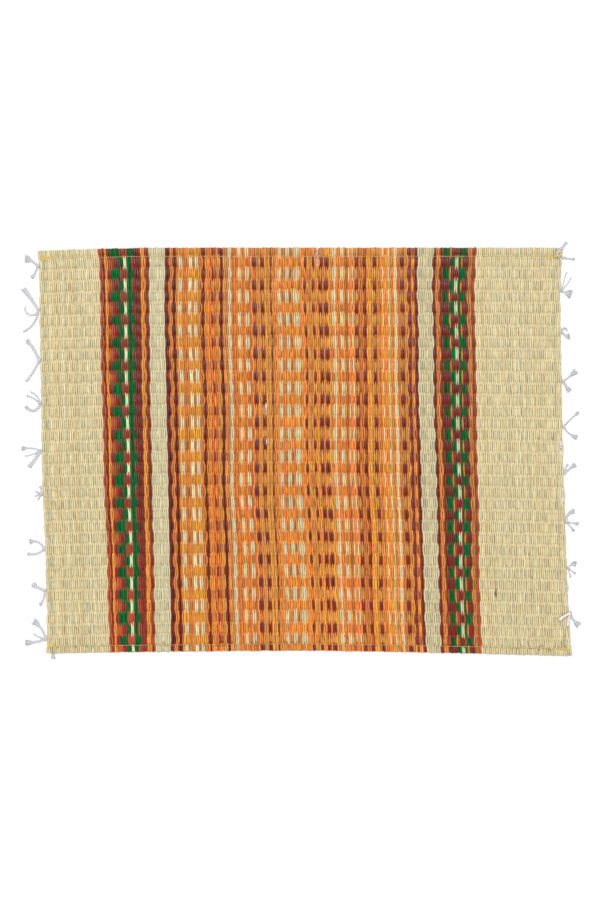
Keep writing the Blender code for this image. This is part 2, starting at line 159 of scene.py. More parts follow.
SET_B = """30 straw, 1 rust, 1 maroon, 2 amber, 2 rust, 1 brown, 2 maroon, 2 green, 2 pale,
2 green, 2 brown, 3 maroon, 1 amber, 1 orange, 2 maroon, 8 straw, 2 maroon,
1 orange, 1 tan, 2 maroon, 1 orange, 2 straw, 2 russet, 1 tan, 2 pale, 1 russet,
2 straw, 2 orange, 1 wine, 1 orange, 1 amber, 1 orange, 1 vermilion, 2 orange,
1 amber, 1 orange, 1 wine, 1 orange, 2 tan, 1 pale, 1 orange, 1 russet, 1 orange,
1 russet, 2 orange, 1 russet, 1 orange, 2 russet, 1 orange, 2 plum, 1 orange,
1 tan, 2 maroon, 1 amber, 1 tan, 1 orange, 1 maroon, 2 orange, 1 tan, 1 orange,
1 vermilion, 1 orange, 2 amber, 2 orange, 1 russet, 2 amber, 2 orange, 1 tan,
1 maroon, 1 orange, 2 tan, 1 maroon, 2 orange, 2 maroon, 1 orange, 2 maroon, 1 tan,
2 orange, 1 pale, 2 orange, 1 russet, 1 orange, 1 russet, 1 orange, 1 vermilion,
2 orange, 2 maroon, 1 orange, 1 russet, 2 maroon, 2 amber, 1 tan, 2 maroon,
1 orange, 1 russet, 3 orange, 1 amber, 1 olive, 2 orange, 1 pale, 1 orange,
1 russet, 2 maroon, 1 orange, 1 amber, 1 plum, 1 orange, 1 amber, 2 maroon,
7 straw, 2 maroon, 1 orange, 1 tan, 5 maroon, 2 green, 2 pale, 1 green, 1 russet,
3 maroon, 1 tan, 1 russet, 1 rust, 43 straw"""


def lay_in(count_text):
    """The dye of every reed, in order, from a written count."""
    reeds = []
    for entry in count_text.replace("\n", " ").split(","):
        count, name = entry.split()
        reeds += [name] * int(count)
    return reeds


REEDS_A = lay_in(SET_A)
REEDS_B = lay_in(SET_B)
REEDS_PER_SET = len(REEDS_A)
print("reeds in each set:", len(REEDS_A), len(REEDS_B))

# %% [markdown]
# ## The dyes
# Plain sedge dries to a pale straw, and no two stems agree: some stay greenish,
# some turn golden. The dyed reeds soak up colour unevenly too. Each dye gets
# one base colour here. The colours are written as they look on a screen, so a
# helper turns them into the linear values that the shader works with.

# %% Dye colours
SCREEN_COLOURS = {
    "straw": (210, 195, 152), "pale": (214, 203, 162), "reedy": (199, 190, 152),
    "golden": (213, 193, 142), "olive": (184, 162, 106), "maroon": (110, 30, 18),
    "wine": (86, 20, 16), "plum": (106, 36, 38), "green": (0, 98, 46),
    "orange": (219, 125, 47), "vermilion": (219, 110, 50), "amber": (213, 141, 47),
    "tan": (196, 131, 61), "rust": (168, 74, 36), "russet": (190, 107, 44),
    "brown": (132, 54, 30),
}
DYES = list(SCREEN_COLOURS)


def linear(screen_colour):
    """The shader's colour for a colour as it looks on a screen."""
    parts = [value / 255.0 for value in screen_colour]
    return tuple(((part + 0.055) / 1.055) ** 2.4 for part in parts) + (1.0,)


print("dyes:", len(DYES))

# %% [markdown]
# ## Small helpers for shader nodes
# A material made by hand in the editor is boxes and wires. A few tiny helpers
# keep the same thing readable in code: add a box, wire two sockets, do a sum,
# mix two colours or read a value that the mesh carries.

# %% Node helpers
def add_node(tree, kind, **settings):
    node = tree.nodes.new(kind)
    for name, value in settings.items():
        setattr(node, name, value)
    return node


def wire(tree, source, target):
    tree.links.new(source, target)


def math_node(tree, operation, *values):
    """A maths box whose inputs are sockets or plain numbers."""
    node = add_node(tree, "ShaderNodeMath", operation=operation)
    for socket, value in zip(node.inputs, values):
        if isinstance(value, (int, float)):
            socket.default_value = value
        else:
            wire(tree, value, socket)
    return node.outputs[0]


def spread(tree, source, low, high):
    """Stretch a value that runs from 0 to 1 so that it runs from low to high."""
    node = add_node(tree, "ShaderNodeMapRange")
    wire(tree, source, node.inputs["Value"])
    node.inputs["To Min"].default_value = low
    node.inputs["To Max"].default_value = high
    return node.outputs["Result"]


def blend_colours(tree, how, share, under, over):
    """Mix two colours. share and under are sockets, over is a fixed colour."""
    node = add_node(tree, "ShaderNodeMix", data_type="RGBA", blend_type=how)
    wire(tree, share, node.inputs[0])
    wire(tree, under, node.inputs[6])
    node.inputs[7].default_value = over
    return node.outputs[2]


def read_attribute(tree, name, output="Fac"):
    """A value that the mesh carries at each of its points."""
    return add_node(tree, "ShaderNodeAttribute", attribute_name=name).outputs[output]


def noise(tree, place, **settings):
    """The strength of a noise pattern, with its other inputs set by name."""
    node = add_node(tree, "ShaderNodeTexNoise")
    for name, value in settings.items():
        node.inputs[name].default_value = value
    wire(tree, place, node.inputs["Vector"])
    return node.outputs["Fac"]


def brighten(tree, colour, light):
    """A colour made lighter or darker: 1 leaves it as it is."""
    node = add_node(tree, "ShaderNodeHueSaturation")
    wire(tree, colour, node.inputs["Color"])
    wire(tree, light, node.inputs["Value"])
    return node.outputs["Color"]


print("node helpers ready")

# %% [markdown]
# ## Groups and materials
# A shared effect is a node group: an empty one with named inputs and outputs is
# filled with boxes once, and each material then places it with its own values.
# The group gives colour, roughness and height, and the material turns the
# height into a small bump.

# %% Group and material helpers
def new_group(name, inputs, outputs):
    """An empty node group. Each input is a name, a socket kind and a start value."""
    group = bpy.data.node_groups.new(name, "ShaderNodeTree")
    for label, kind, value in inputs:
        socket = group.interface.new_socket(label, in_out="INPUT", socket_type=kind)
        socket.default_value = value
    for label, kind in outputs:
        group.interface.new_socket(label, in_out="OUTPUT", socket_type=kind)
    return group, group.nodes.new("NodeGroupInput"), group.nodes.new("NodeGroupOutput")


def new_material(name, shine):
    """A new material, its node tree and its Principled shader."""
    material = bpy.data.materials.new(name)
    material.use_nodes = True
    surface = material.node_tree.nodes["Principled BSDF"]
    surface.inputs["Specular IOR Level"].default_value = shine
    return material, material.node_tree, surface


def feed_surface(tree, surface, group, values, bump_strength, bump_depth):
    """Put a group into a material, and wire its colour, roughness and bump."""
    box = add_node(tree, "ShaderNodeGroup", node_tree=group)
    for name, value in values.items():
        box.inputs[name].default_value = value
    wire(tree, box.outputs["Colour"], surface.inputs["Base Color"])
    wire(tree, box.outputs["Roughness"], surface.inputs["Roughness"])
    bump = add_node(tree, "ShaderNodeBump")
    bump.inputs["Strength"].default_value = bump_strength
    bump.inputs["Distance"].default_value = bump_depth
    wire(tree, box.outputs["Height"], bump.inputs["Height"])
    wire(tree, bump.outputs["Normal"], surface.inputs["Normal"])


print("group and material helpers ready")

# %% [markdown]
# ## Reed fibre
# A reed is a bundle of long fibres, so its colour changes in fine streaks along
# its length, and the stem as a whole may be lighter or darker. A browner dust
# colour lies low between two reeds and a little where the rows meet: partly dust,
# partly painted shade for the gaps that the light hardly reaches. The darkest dyes
# also get a thin pale haze, a painted sheen.
#
# All sixteen dyes need the same effect, so it is one node group. It reads
# values that every reed carries in its mesh. Grain is a place on the stem, and
# tone is how light the stem is there, painted light and shade along the barrels
# included. Crest is 1 on top of a barrel, a little less where the rows meet, and
# 0 at the sides and below, where the dust colour and painted shade go. The painted
# sheen is strongest on the far half of each barrel, and stain marks the few
# spoiled spots.

# %% Reed fibre group
COLOUR = "NodeSocketColor"
NUMBER = "NodeSocketFloat"
# Dust colour, which also stands in as painted shade in the gaps between reeds.
DUST_AND_SHADE = (0.80, 0.66, 0.42, 1.0)
STAIN = (0.050, 0.010, 0.004, 1.0)
# Pale haze colour that paints a sheen on the dark dyes.
PAINTED_SHEEN_COLOUR = (0.42, 0.27, 0.31, 1.0)
WHITE = (1.0, 1.0, 1.0, 1.0)
GROUP_OUTPUTS = [("Colour", COLOUR), ("Roughness", NUMBER), ("Height", NUMBER)]
REED_ROUGHNESS = (0.52, 0.28)


def reed_fibre_group():
    inputs = [("Dye", COLOUR, WHITE), ("Streaks", NUMBER, 0.3), ("Dust and shade", NUMBER, 0.5),
              ("Bloom", NUMBER, 0.0)]
    group, given, result = new_group("reed fibre", inputs, GROUP_OUTPUTS)
    place = read_attribute(group, "grain", "Vector")
    streak = noise(group, place, Scale=1.0, Detail=3.0, Roughness=0.62)
    fibre = spread(group, streak, -1.0, 1.0)
    swing = math_node(group, "MULTIPLY", fibre, given.outputs["Streaks"])
    own = math_node(group, "ADD", swing, read_attribute(group, "tone"))
    light = math_node(group, "ADD", own, 1.0)
    dyed = brighten(group, given.outputs["Dye"], light)
    # Dust colour low in the gaps, partly real dust and partly painted shade.
    hollow = math_node(group, "SUBTRACT", 1.0, read_attribute(group, "crest"))
    dust_and_shade_share = math_node(group, "MULTIPLY", hollow, given.outputs["Dust and shade"])
    dusty_and_shaded = blend_colours(group, "MULTIPLY", dust_and_shade_share, dyed, DUST_AND_SHADE)
    # Painted sheen: a pale haze where the mesh marks the far halves of the barrels.
    bloom = read_attribute(group, "bloom")
    sheen_share = math_node(group, "MULTIPLY", bloom, given.outputs["Bloom"])
    sheened = blend_colours(group, "MIX", sheen_share, dusty_and_shaded, PAINTED_SHEEN_COLOUR)
    stained = blend_colours(group, "MIX", read_attribute(group, "stain"), sheened, STAIN)
    wire(group, stained, result.inputs["Colour"])
    wire(group, spread(group, streak, *REED_ROUGHNESS), result.inputs["Roughness"])
    wire(group, streak, result.inputs["Height"])
    return group


REED_FIBRE = reed_fibre_group()
print("reed fibre group:", len(REED_FIBRE.nodes), "nodes")

# %% [markdown]
# ## One material for each dye
# The Principled shader stays in the material, and the group only feeds its
# colour, roughness and bump. The dried skin of sedge is slightly waxy, so it
# shines a little, and the green dye has left it duller. Plain reeds have weaker
# streaks than dyed ones, because the dye soaks in unevenly.

# %% Dye materials
REED_SHINE = 0.26
OWN_SHINE = {"green": 0.08}
REED_BUMP = 0.25
REED_BUMP_DEPTH = 0.00012
PLAIN_DYES = ("straw", "pale", "reedy", "golden", "olive")
# How much dust colour, partly painted shade, goes into the gaps of plain and dyed reeds.
PLAIN_STREAKS, PLAIN_DUST_AND_SHADE = 0.62, 0.55
DYED_STREAKS, DYED_DUST_AND_SHADE = 1.25, 0.50
# Strength of the painted sheen for each dark dye.
PAINTED_SHEEN = {"maroon": 0.10, "wine": 0.09, "plum": 0.16, "brown": 0.05, "rust": 0.03}


def dye_material(name):
    material, tree, surface = new_material("reed " + name, OWN_SHINE.get(name, REED_SHINE))
    plain = name in PLAIN_DYES
    values = {"Dye": linear(SCREEN_COLOURS[name]),
              "Streaks": PLAIN_STREAKS if plain else DYED_STREAKS,
              "Dust and shade": PLAIN_DUST_AND_SHADE if plain else DYED_DUST_AND_SHADE,
              "Bloom": PAINTED_SHEEN.get(name, 0.0)}
    feed_surface(tree, surface, REED_FIBRE, values, REED_BUMP, REED_BUMP_DEPTH)
    return material


DYE_MATERIALS = [dye_material(name) for name in DYES]
print("dye materials:", [material.name for material in DYE_MATERIALS])

# %% [markdown]
# ## Cotton
# The cotton is a plied yarn: several thin threads twisted round each other. The
# twist shows as slanted lighter ridges with a bump, and the dark lines between
# them are painted shade in the furrows. Loose fibre makes it look soft. Warps,
# tassels and the sewing thread all share it, each with its own colour, its own
# turns per millimetre and its own darkness of painted furrow shade, so it is a
# group too. Cotton that lies on top of the mat has kept cleaner than the tassels,
# and thread packed into a corner patch looks yellower.

# %% Cotton group and materials
COTTON_ROUGHNESS = (0.75, 0.98)
COTTON_SHINE = 0.2
COTTON_BUMP = 0.5
COTTON_BUMP_DEPTH = 0.0001
FLUFF = 0.16


def plied_cotton_group():
    inputs = [("Thread", COLOUR, WHITE), ("Turns", NUMBER, 0.7), ("Furrow shade", NUMBER, 0.4)]
    group, given, result = new_group("plied cotton", inputs, GROUP_OUTPUTS)
    place = read_attribute(group, "grain", "Vector")
    axes = add_node(group, "ShaderNodeSeparateXYZ")
    wire(group, place, axes.inputs[0])
    along = math_node(group, "MULTIPLY", axes.outputs["Y"], given.outputs["Turns"])
    turn = math_node(group, "ADD", along, axes.outputs["X"])
    wave = math_node(group, "SINE", math_node(group, "MULTIPLY", turn, 2.0 * math.pi))
    ply = math_node(group, "MULTIPLY_ADD", wave, 0.5, 0.5)
    fluff = noise(group, place, Scale=2.6, Detail=4.0)
    # Painted shade: the colour is darkened in the furrows of the twist.
    hollow = math_node(group, "SUBTRACT", 1.0, ply)
    furrow_darkening = math_node(group, "MULTIPLY", hollow, given.outputs["Furrow shade"])
    soft = spread(group, fluff, -FLUFF, FLUFF)
    light = math_node(group, "ADD", math_node(group, "SUBTRACT", 1.0, furrow_darkening), soft)
    light = math_node(group, "ADD", light, read_attribute(group, "tone"))
    wire(group, brighten(group, given.outputs["Thread"], light), result.inputs["Colour"])
    wire(group, spread(group, fluff, *COTTON_ROUGHNESS), result.inputs["Roughness"])
    wire(group, math_node(group, "ADD", ply, soft), result.inputs["Height"])
    return group


PLIED_COTTON = plied_cotton_group()


def cotton_material(name, screen_colour, turns, furrow_darkness):
    material, tree, surface = new_material(name, COTTON_SHINE)
    values = {"Thread": linear(screen_colour), "Turns": turns, "Furrow shade": furrow_darkness}
    feed_surface(tree, surface, PLIED_COTTON, values, COTTON_BUMP, COTTON_BUMP_DEPTH)
    return material


WARP_COTTON = cotton_material("warp cotton", (249, 248, 246), 0.9, 0.12)
TASSEL_COTTON = cotton_material("tassel cotton", (221, 221, 224), 0.5, 0.5)
FIBRE_COTTON = cotton_material("loose cotton fibre", (206, 206, 209), 0.2, 0.15)
CLEAN_COTTON = cotton_material("clean cotton", (238, 236, 234), 0.5, 0.3)
SEWING_THREAD = cotton_material("sewing thread", (222, 200, 140), 1.2, 0.3)
PACKED_THREAD = cotton_material("packed sewing thread", (250, 222, 128), 1.2, 0.15)
print("cotton materials ready")

# %% [markdown]
# ## Making tubes
# Nearly every piece here is a bundle of tubes. A bevelled curve would do, but a
# curve can't carry a different width, height and tone at each point, and the
# reeds need all three. So each tube is a stack of rings, and one function skins
# all the tubes of a piece into one closed mesh, with a strip of the UV map for
# each of them so that its finish can be baked.

# %% Tube mesh
MM = 0.001
CAP_BAND = 0.985
CAP_CELL = 0.4
STRIP_INSET = 0.05
Tube = namedtuple("Tube", "rings across along number tone crest stain bloom slot")


def skin(stations, sides):
    """The four-sided faces of one tube, and where each corner lies on its strip."""
    faces = []
    corners = []
    for ring in range(stations - 1):
        low = ring / (stations - 1) * CAP_BAND
        high = (ring + 1) / (stations - 1) * CAP_BAND
        for side in range(sides):
            after = (side + 1) % sides
            left = side / sides
            right = (side + 1) / sides
            here = ring * sides
            there = (ring + 1) * sides
            faces.append((here + side, here + after, there + after, there + side))
            corners.append(((left, low), (right, low), (right, high), (left, high)))
    last = (stations - 1) * sides
    caps = (list(range(sides))[::-1], [last + side for side in range(sides)])
    for index, ring in enumerate(caps):
        for start in range(1, sides - 1, 2):
            left = 0.5 * index + 0.5 * start / sides
            right = left + CAP_CELL / sides
            faces.append((ring[0], ring[start], ring[start + 1], ring[start + 2]))
            corners.append(((left, CAP_BAND), (right, CAP_BAND), (right, 1.0), (left, 1.0)))
    return np.array(faces), np.array(corners)


# Faces are the same for every tube of the same size, so they are made once.
SKINS = {}


def tube_piece(name, tubes, materials):
    """One closed mesh of many tubes, with the values that the shaders read."""
    points, faces, corners, slots, grain = [], [], [], [], []
    values = {"tone": [], "crest": [], "stain": [], "bloom": []}
    inset = np.array((STRIP_INSET, 0.0))
    inside = np.array((1.0 - 2.0 * STRIP_INSET, 1.0))
    first = 0
    for index, tube in enumerate(tubes):
        stations, sides = tube.rings.shape[:2]
        if (stations, sides) not in SKINS:
            SKINS[stations, sides] = skin(stations, sides)
        tube_faces, tube_corners = SKINS[stations, sides]
        points.append(tube.rings.reshape(-1, 3))
        faces.append(tube_faces + first)
        strip = tube_corners * inside + inset + np.array((index, 0.0))
        corners.append(strip / np.array((len(tubes), 1.0)))
        slots.append(np.full(len(tube_faces), tube.slot))
        for key, value in zip(values, (tube.tone, tube.crest, tube.stain, tube.bloom)):
            value = np.reshape(value, (-1, 1)) if np.ndim(value) == 1 else value
            values[key].append(np.broadcast_to(value, (stations, sides)).ravel())
        place = np.empty((stations, sides, 3))
        place[..., 0] = tube.across
        place[..., 1] = np.reshape(tube.along, (-1, 1))
        place[..., 2] = tube.number
        grain.append(place.reshape(-1, 3))
        first += stations * sides
    mesh = bpy.data.meshes.new(name)
    places = np.concatenate(points) * MM
    mesh.from_pydata(places.tolist(), [], np.concatenate(faces).tolist())
    for key, value in values.items():
        layer = mesh.attributes.new(key, "FLOAT", "POINT")
        layer.data.foreach_set("value", np.concatenate(value).astype(np.float32))
    layer = mesh.attributes.new("grain", "FLOAT_VECTOR", "POINT")
    layer.data.foreach_set("vector", np.concatenate(grain).astype(np.float32).ravel())
    strips = mesh.uv_layers.new(name="OFBake")
    strips.data.foreach_set("uv", np.concatenate(corners).astype(np.float32).ravel())
    for material in materials:
        mesh.materials.append(material)
    mesh.polygons.foreach_set("material_index", np.concatenate(slots).astype(np.int32))
    mesh.polygons.foreach_set("use_smooth", np.ones(len(mesh.polygons), dtype=bool))
    mesh.update()
    piece = bpy.data.objects.new(name, mesh)
    bpy.context.scene.collection.objects.link(piece)
    print(name, "tubes:", len(tubes), "triangles:", 2 * len(mesh.polygons))
    return piece


print("tube mesh ready")

# %% [markdown]
# ## Where the mat has come loose
# The mat has been used. One reed is missing near the middle of the far end, two
# thin slits show further down, and the outermost reeds have worked loose in a
# few places. Each flaw is a place where the neighbours are pushed apart and
# made a little narrower. The push fades out at both ends, and sideways over the
# reach of the gap.

# %% Gaps between reeds
GAP_ENDS = 2.2
Gap = namedtuple("Gap", "x far near half reach narrow")
GAPS = [
    Gap(15.2, 182.0, 157.8, 1.0, 7.0, 0.16),
    Gap(-29.5, 42.5, 29.5, 0.85, 6.0, 0.12),
    Gap(-29.3, 11.3, 4.3, 0.85, 6.0, 0.12),
    Gap(225.9, 11.0, -5.5, 0.95, 4.0, 0.10),
    Gap(229.7, -111.0, -123.0, 1.0, 4.0, 0.12),
    Gap(227.6, -31.5, -47.5, 0.85, 4.0, 0.10),
    Gap(-218.6, -130.0, -140.5, 0.85, 4.0, 0.10),
]


def fade(y, far, near, soft):
    """1 between far and near, and 0 past them, with soft ends."""
    up = np.clip((far - y) / soft, 0.0, 1.0)
    down = np.clip((y - near) / soft, 0.0, 1.0)
    return up * down


def part_reeds(x, y, width):
    """Push reeds aside round each gap, and narrow the ones next to it."""
    for gap in GAPS:
        away = x - gap.x
        strength = fade(y, gap.far, gap.near, GAP_ENDS)
        near_gap = np.clip(1.0 - np.abs(away) / gap.reach, 0.0, 1.0) * strength
        x = x + np.where(away < 0.0, -1.0, 1.0) * gap.half * near_gap
        width = width * (1.0 - gap.narrow * near_gap)
    return x, width


print("gaps:", len(GAPS))

# %% [markdown]
# ## The reeds
# A reed rises over a warp, sinks under the next, and is squeezed between its
# neighbours where the rows meet. So its cross-section changes all the way: a
# flat six-sided shape that is widest over and under each warp and about half as
# wide in between. Three rings for each row are enough to draw the barrel.
#
# A station is a place along the reed where it gets such a ring: one at each cut
# end, one on either side of every warp, and one where two rows meet.

# %% Reed stations
MID_HEIGHT = 1.05
SWING = 0.70
BESIDE_ROW = 0.2
NEAR_CREST = 0.95
CUT_SWING = 0.40
PROFILE = np.array([(0.5, 0.0), (0.3, 0.5), (-0.3, 0.5), (-0.5, 0.0), (-0.3, -0.5),
                    (0.3, -0.5)])
SIDEWAYS = PROFILE[None, :, 0]
UPWARDS = PROFILE[None, :, 1]


def reed_stations(parity):
    """Places along a reed, and how far it is over (1) or under (-1) the warp there."""
    places = [(0.0, CUT_SWING * (1 if parity == 0 else -1))]
    for row, distance in enumerate(ROWS):
        over = NEAR_CREST * (1 if row % 2 == parity else -1)
        places.append((distance - BESIDE_ROW * PITCH, over))
        places.append((distance + BESIDE_ROW * PITCH, over))
        if row < ROW_COUNT - 1:
            places.append((MIDDLES[row], 0.0))
    last = 1 if (ROW_COUNT - 1) % 2 == parity else -1
    places.append((REED_LENGTH, CUT_SWING * last))
    return np.array(places)


print("stations on a reed:", len(reed_stations(0)))

# %% [markdown]
# ## Room for every reed
# An array modifier could repeat one reed, but then all would be the same and
# the stripes would look printed. Here the borders between reeds stray by chance,
# from a seeded random generator, so every run gives the same mat. Single reeds
# of a few dyes are squeezed between wider neighbours, so they get less room.

# %% Room for the reeds
RNG = np.random.default_rng(20240611)
UNEVEN_SPLIT = 0.18
LESS_ROOM = ({"pale": 0.2}, {"pale": 0.28, "wine": 0.35, "maroon": 0.13})


def uneven_edges():
    """Where one reed ends and the next begins, in reeds, a little off the count."""
    edges = np.arange(REEDS_PER_SET + 1) + RNG.normal(0.0, UNEVEN_SPLIT, REEDS_PER_SET + 1)
    edges[0], edges[-1] = 0.0, REEDS_PER_SET
    return edges


def thin_out(edges, dyes_in_order, name, squeeze):
    """Give the reeds of one dye less room, and their neighbours more."""
    for index, dye_name in enumerate(dyes_in_order):
        if dye_name == name and dyes_in_order[index - 1] != name:
            edges[index] += squeeze
        if dye_name == name and dyes_in_order[index + 1] != name:
            edges[index + 1] -= squeeze


SPLITS = []
for dyes_in_order, squeezes in zip((REEDS_A, REEDS_B), LESS_ROOM):
    edges = uneven_edges()
    for dye_name, squeeze in squeezes.items():
        thin_out(edges, dyes_in_order, dye_name, squeeze)
    SPLITS.append(edges)
print("room of the first reeds:", np.diff(SPLITS[0])[:3])

# %% [markdown]
# ## The line of a reed
# Reeds aren't ruled lines. They lean with their stripe, drift together in slow
# waves, and each strays a little by itself. Over and under a warp a reed lies in
# the middle of its own room, and in between it slips back to its place in the
# count, where reeds of the two sets pass each other. The cut ends are uneven.

# %% Line of a reed
SET_OFFSET = (0.25, 0.75)
# How much of a reed's own room shows in its width. The rest evens out.
OWN_ROOM = 0.45
UNEVEN_LINE = 0.05
UNEVEN_CUT = 0.22
# Two waves: how far aside, how long, how it shifts across the mat, and its start.
WAVES = ((0.45, 31.0, 9.0, 0.0), (0.30, 17.0, -23.0, 1.3))


def wander(across, distance):
    """The slow sideways drift that all neighbouring reeds share."""
    calm = np.sin(np.pi * np.clip(across, 0.0, 1.0)) ** 0.5
    aside = 0.0
    for size, run, shift, first in WAVES:
        aside = aside + size * np.sin(distance / run + shift * across + first)
    return aside * calm


def reed_line(index, parity, distance, fullness):
    """Where the reed runs on the mat, and how much room it has at each station."""
    start, stop = SPLITS[parity][index:index + 2]
    nominal = index + SET_OFFSET[parity]
    middle = 0.5 * (start + stop) - 0.5 + SET_OFFSET[parity]
    across = between(nominal, middle, fullness) / REEDS_PER_SET
    x, y = mat_point(across, distance / REED_LENGTH)
    x = x + stripe_lean(across, y) + wander(across, distance)
    x = x + RNG.normal(0.0, UNEVEN_LINE) + RNG.normal(0.0, UNEVEN_LINE, len(x))
    y[0] += RNG.normal(0.0, UNEVEN_CUT)
    y[-1] += RNG.normal(0.0, UNEVEN_CUT)
    return x, y, between(1.0, between(1.0, stop - start, OWN_ROOM), fullness)


print("drift near the middle:", wander(0.5, np.array([0.0, 175.0])))

# %% [markdown]
# ## The body of a reed
# The rings are laid along that line. Each is as wide as the room allows, and a
# few reeds are thin all the way. The heights follow the warps: up over one and
# down under the next. The outermost reed splays out at the near left corner.

# %% Body of a reed
CREST_WIDTH = 1.86
PINCH_WIDTH = 0.95
FULLNESS_POWER = 0.8
REED_THICKNESS = 0.58
LEAST_LIFT = 0.02
MOST_HEIGHT = 2.6
THIN_SHARE, THIN_WIDTH = 0.07, 0.80
UNEVEN_PINCH = 1.0
UNEVEN_WIDTH = 0.06
UNEVEN_HEIGHT = 0.03
UNEVEN_BARREL = 0.025
UNEVEN_THICKNESS = 0.05
SPLAY_BY, SPLAY_FROM, SPLAY_RUN = 1.5, -168.5, 5.0


def reed_shape(index, parity):
    """The rings of one reed, its width, and what its finish needs to know."""
    places = reed_stations(parity)
    distance, over = places[:, 0], places[:, 1]
    count = len(places)
    fullness = np.abs(over) ** FULLNESS_POWER
    slide = RNG.normal(0.0, UNEVEN_PINCH, count)
    distance = distance + np.where(fullness < 0.1, slide, 0.0)
    x, y, room = reed_line(index, parity, distance, fullness)
    width = between(PINCH_WIDTH, CREST_WIDTH, fullness) * room
    width = width * RNG.normal(1.0, UNEVEN_WIDTH, count)
    width = width * (THIN_WIDTH if RNG.random() < THIN_SHARE else 1.0)
    x, width = part_reeds(x, y, width)
    if index == 0 and parity == 0:
        x = x - SPLAY_BY * np.clip((SPLAY_FROM - y) / SPLAY_RUN, 0.0, 1.0)
    height = MID_HEIGHT + SWING * over + RNG.normal(0.0, UNEVEN_HEIGHT)
    height = height + RNG.normal(0.0, UNEVEN_BARREL, count)
    thick = REED_THICKNESS * RNG.normal(1.0, UNEVEN_THICKNESS)
    height = np.clip(height, 0.5 * thick + LEAST_LIFT, MOST_HEIGHT)
    rings = np.empty((count, len(PROFILE), 3))
    rings[..., 0] = x[:, None] + width[:, None] * SIDEWAYS
    rings[..., 1] = y[:, None]
    rings[..., 2] = height[:, None] + thick * UPWARDS
    return rings, width, x, y, distance, over


print("widest and narrowest of a reed:", CREST_WIDTH, PINCH_WIDTH)

# %% [markdown]
# ## The shade of a reed
# No two plain reeds are alike, and greyer ones were kept for the stripes
# between the dyed bands. Orange reeds took up more or less dye, so some turn
# amber, tan or russet. A random choice with fixed shares does both.

# %% Shade of a reed
STRAW_SHADES = ["straw", "pale", "reedy", "golden"]
OUTER_STRAW = [0.62, 0.10, 0.18, 0.10]
INNER_STRAW = [0.30, 0.02, 0.66, 0.02]
INNER_REEDS = range(41, REEDS_PER_SET - 50)
ORANGE_SHADES = ["orange", "amber", "tan", "russet"]
ORANGE_SHARES = [0.66, 0.12, 0.12, 0.10]


def own_shade(dye_name, index):
    """The shade that one reed took."""
    if dye_name == "straw":
        shares = INNER_STRAW if index in INNER_REEDS else OUTER_STRAW
        return RNG.choice(STRAW_SHADES, p=shares)
    if dye_name == "orange":
        return RNG.choice(ORANGE_SHADES, p=ORANGE_SHARES)
    return dye_name


print("shades:", STRAW_SHADES, ORANGE_SHADES)

# %% [markdown]
# ## Light and dark along a reed
# A reed is painted a little paler where the rows meet, and darker on one shoulder
# of each barrel: the far shoulder at the near end of the mat, and the near shoulder
# at the far end. This is painted light and shade. The near end is also lighter,
# most of all the dark reeds of the left band. Lamps could give some of this, but
# the light on the real mat is so even that it has to be in the reed.
#
# The three numbers of each painted light table are for where rows meet, for the
# far shoulder and for the near one, which is the order of the rings along the reed.

# %% Light and dark along a reed
NEAR_END_PAINTED_LIGHT = (0.052, -0.065, 0.0)
FAR_END_PAINTED_LIGHT = (0.052, -0.01, -0.045)
PAINTED_LIGHT_FROM, PAINTED_LIGHT_RUN = -170.0, 340.0
LIGHTER_FROM, LIGHTER_RUN = -40.0, 130.0
NEAR_END_LIGHTER = {"brown": 0.80, "maroon": 0.28, "plum": 0.28, "rust": 0.22, "wine": 0.12,
             "orange": 0.09, "amber": 0.09, "tan": 0.06, "russet": 0.12}
LEFT_BAND_END, LEFT_BAND_LIGHTER = 62, 0.65
LEFT_BAND_DYES = ("maroon", "wine", "plum")


def shade_along(y):
    """Painted light and shade that repeat along every reed."""
    ring = np.arange(len(y)) % 3
    toward_far = np.clip((y - PAINTED_LIGHT_FROM) / PAINTED_LIGHT_RUN, 0.0, 1.0)
    return between(np.take(NEAR_END_PAINTED_LIGHT, ring), np.take(FAR_END_PAINTED_LIGHT, ring), toward_far)


def faded(name, index, y):
    """How much lighter a dye gets toward the near end."""
    most = NEAR_END_LIGHTER.get(name, 0.0)
    if index < LEFT_BAND_END and name in LEFT_BAND_DYES:
        most = LEFT_BAND_LIGHTER
    return most * np.clip((LIGHTER_FROM - y) / LIGHTER_RUN, 0.0, 1.0)


print("dyes that fade:", list(NEAR_END_LIGHTER))

# %% [markdown]
# ## Painted sheen and stains
# The dark dyes get a painted sheen, a pale haze on the half of each barrel that
# leans to the far end, and more at that end of the mat. Two small dark spots among
# the plain reeds at the right are spoiled places. Both could be thin shapes of
# their own, but they are only colour, so they are values that each station carries.

# %% Painted sheen and stains
# The painted sheen grows toward the far end of the mat, and never goes below its least share.
SHEEN_FROM, SHEEN_RUN, LEAST_SHEEN = -140.0, 300.0, 0.12
Stain = namedtuple("Stain", "x far near half")
STAINS = [Stain(169.5, -113.6, -116.8, 0.4), Stain(169.6, -119.6, -126.4, 0.6)]
STAIN_REACH, STAIN_ENDS = 8.0, 1.5


# Mask for the painted sheen.
def far_half_of_floats(count, parity):
    """1 on the far half of each barrel and near 0 on its near half."""
    share = np.zeros(count)
    share[0] = 0.5
    share[1::3] = 1.0
    share[2::3] = 0.1
    first_middle = 3 if parity == 1 else 6
    share[first_middle:-1:6] = 0.7
    return share


def stained(x, y):
    """How spoiled the reed is at each station."""
    stain = np.zeros(len(x))
    for spot in STAINS:
        if abs(x[len(x) // 2] - spot.x) < STAIN_REACH:
            beside = np.clip(1.4 - np.abs(x - spot.x) / spot.half, 0.0, 1.0)
            stain = np.maximum(stain, fade(y, spot.far, spot.near, STAIN_ENDS) * beside)
    return stain


print("stains:", len(STAINS))

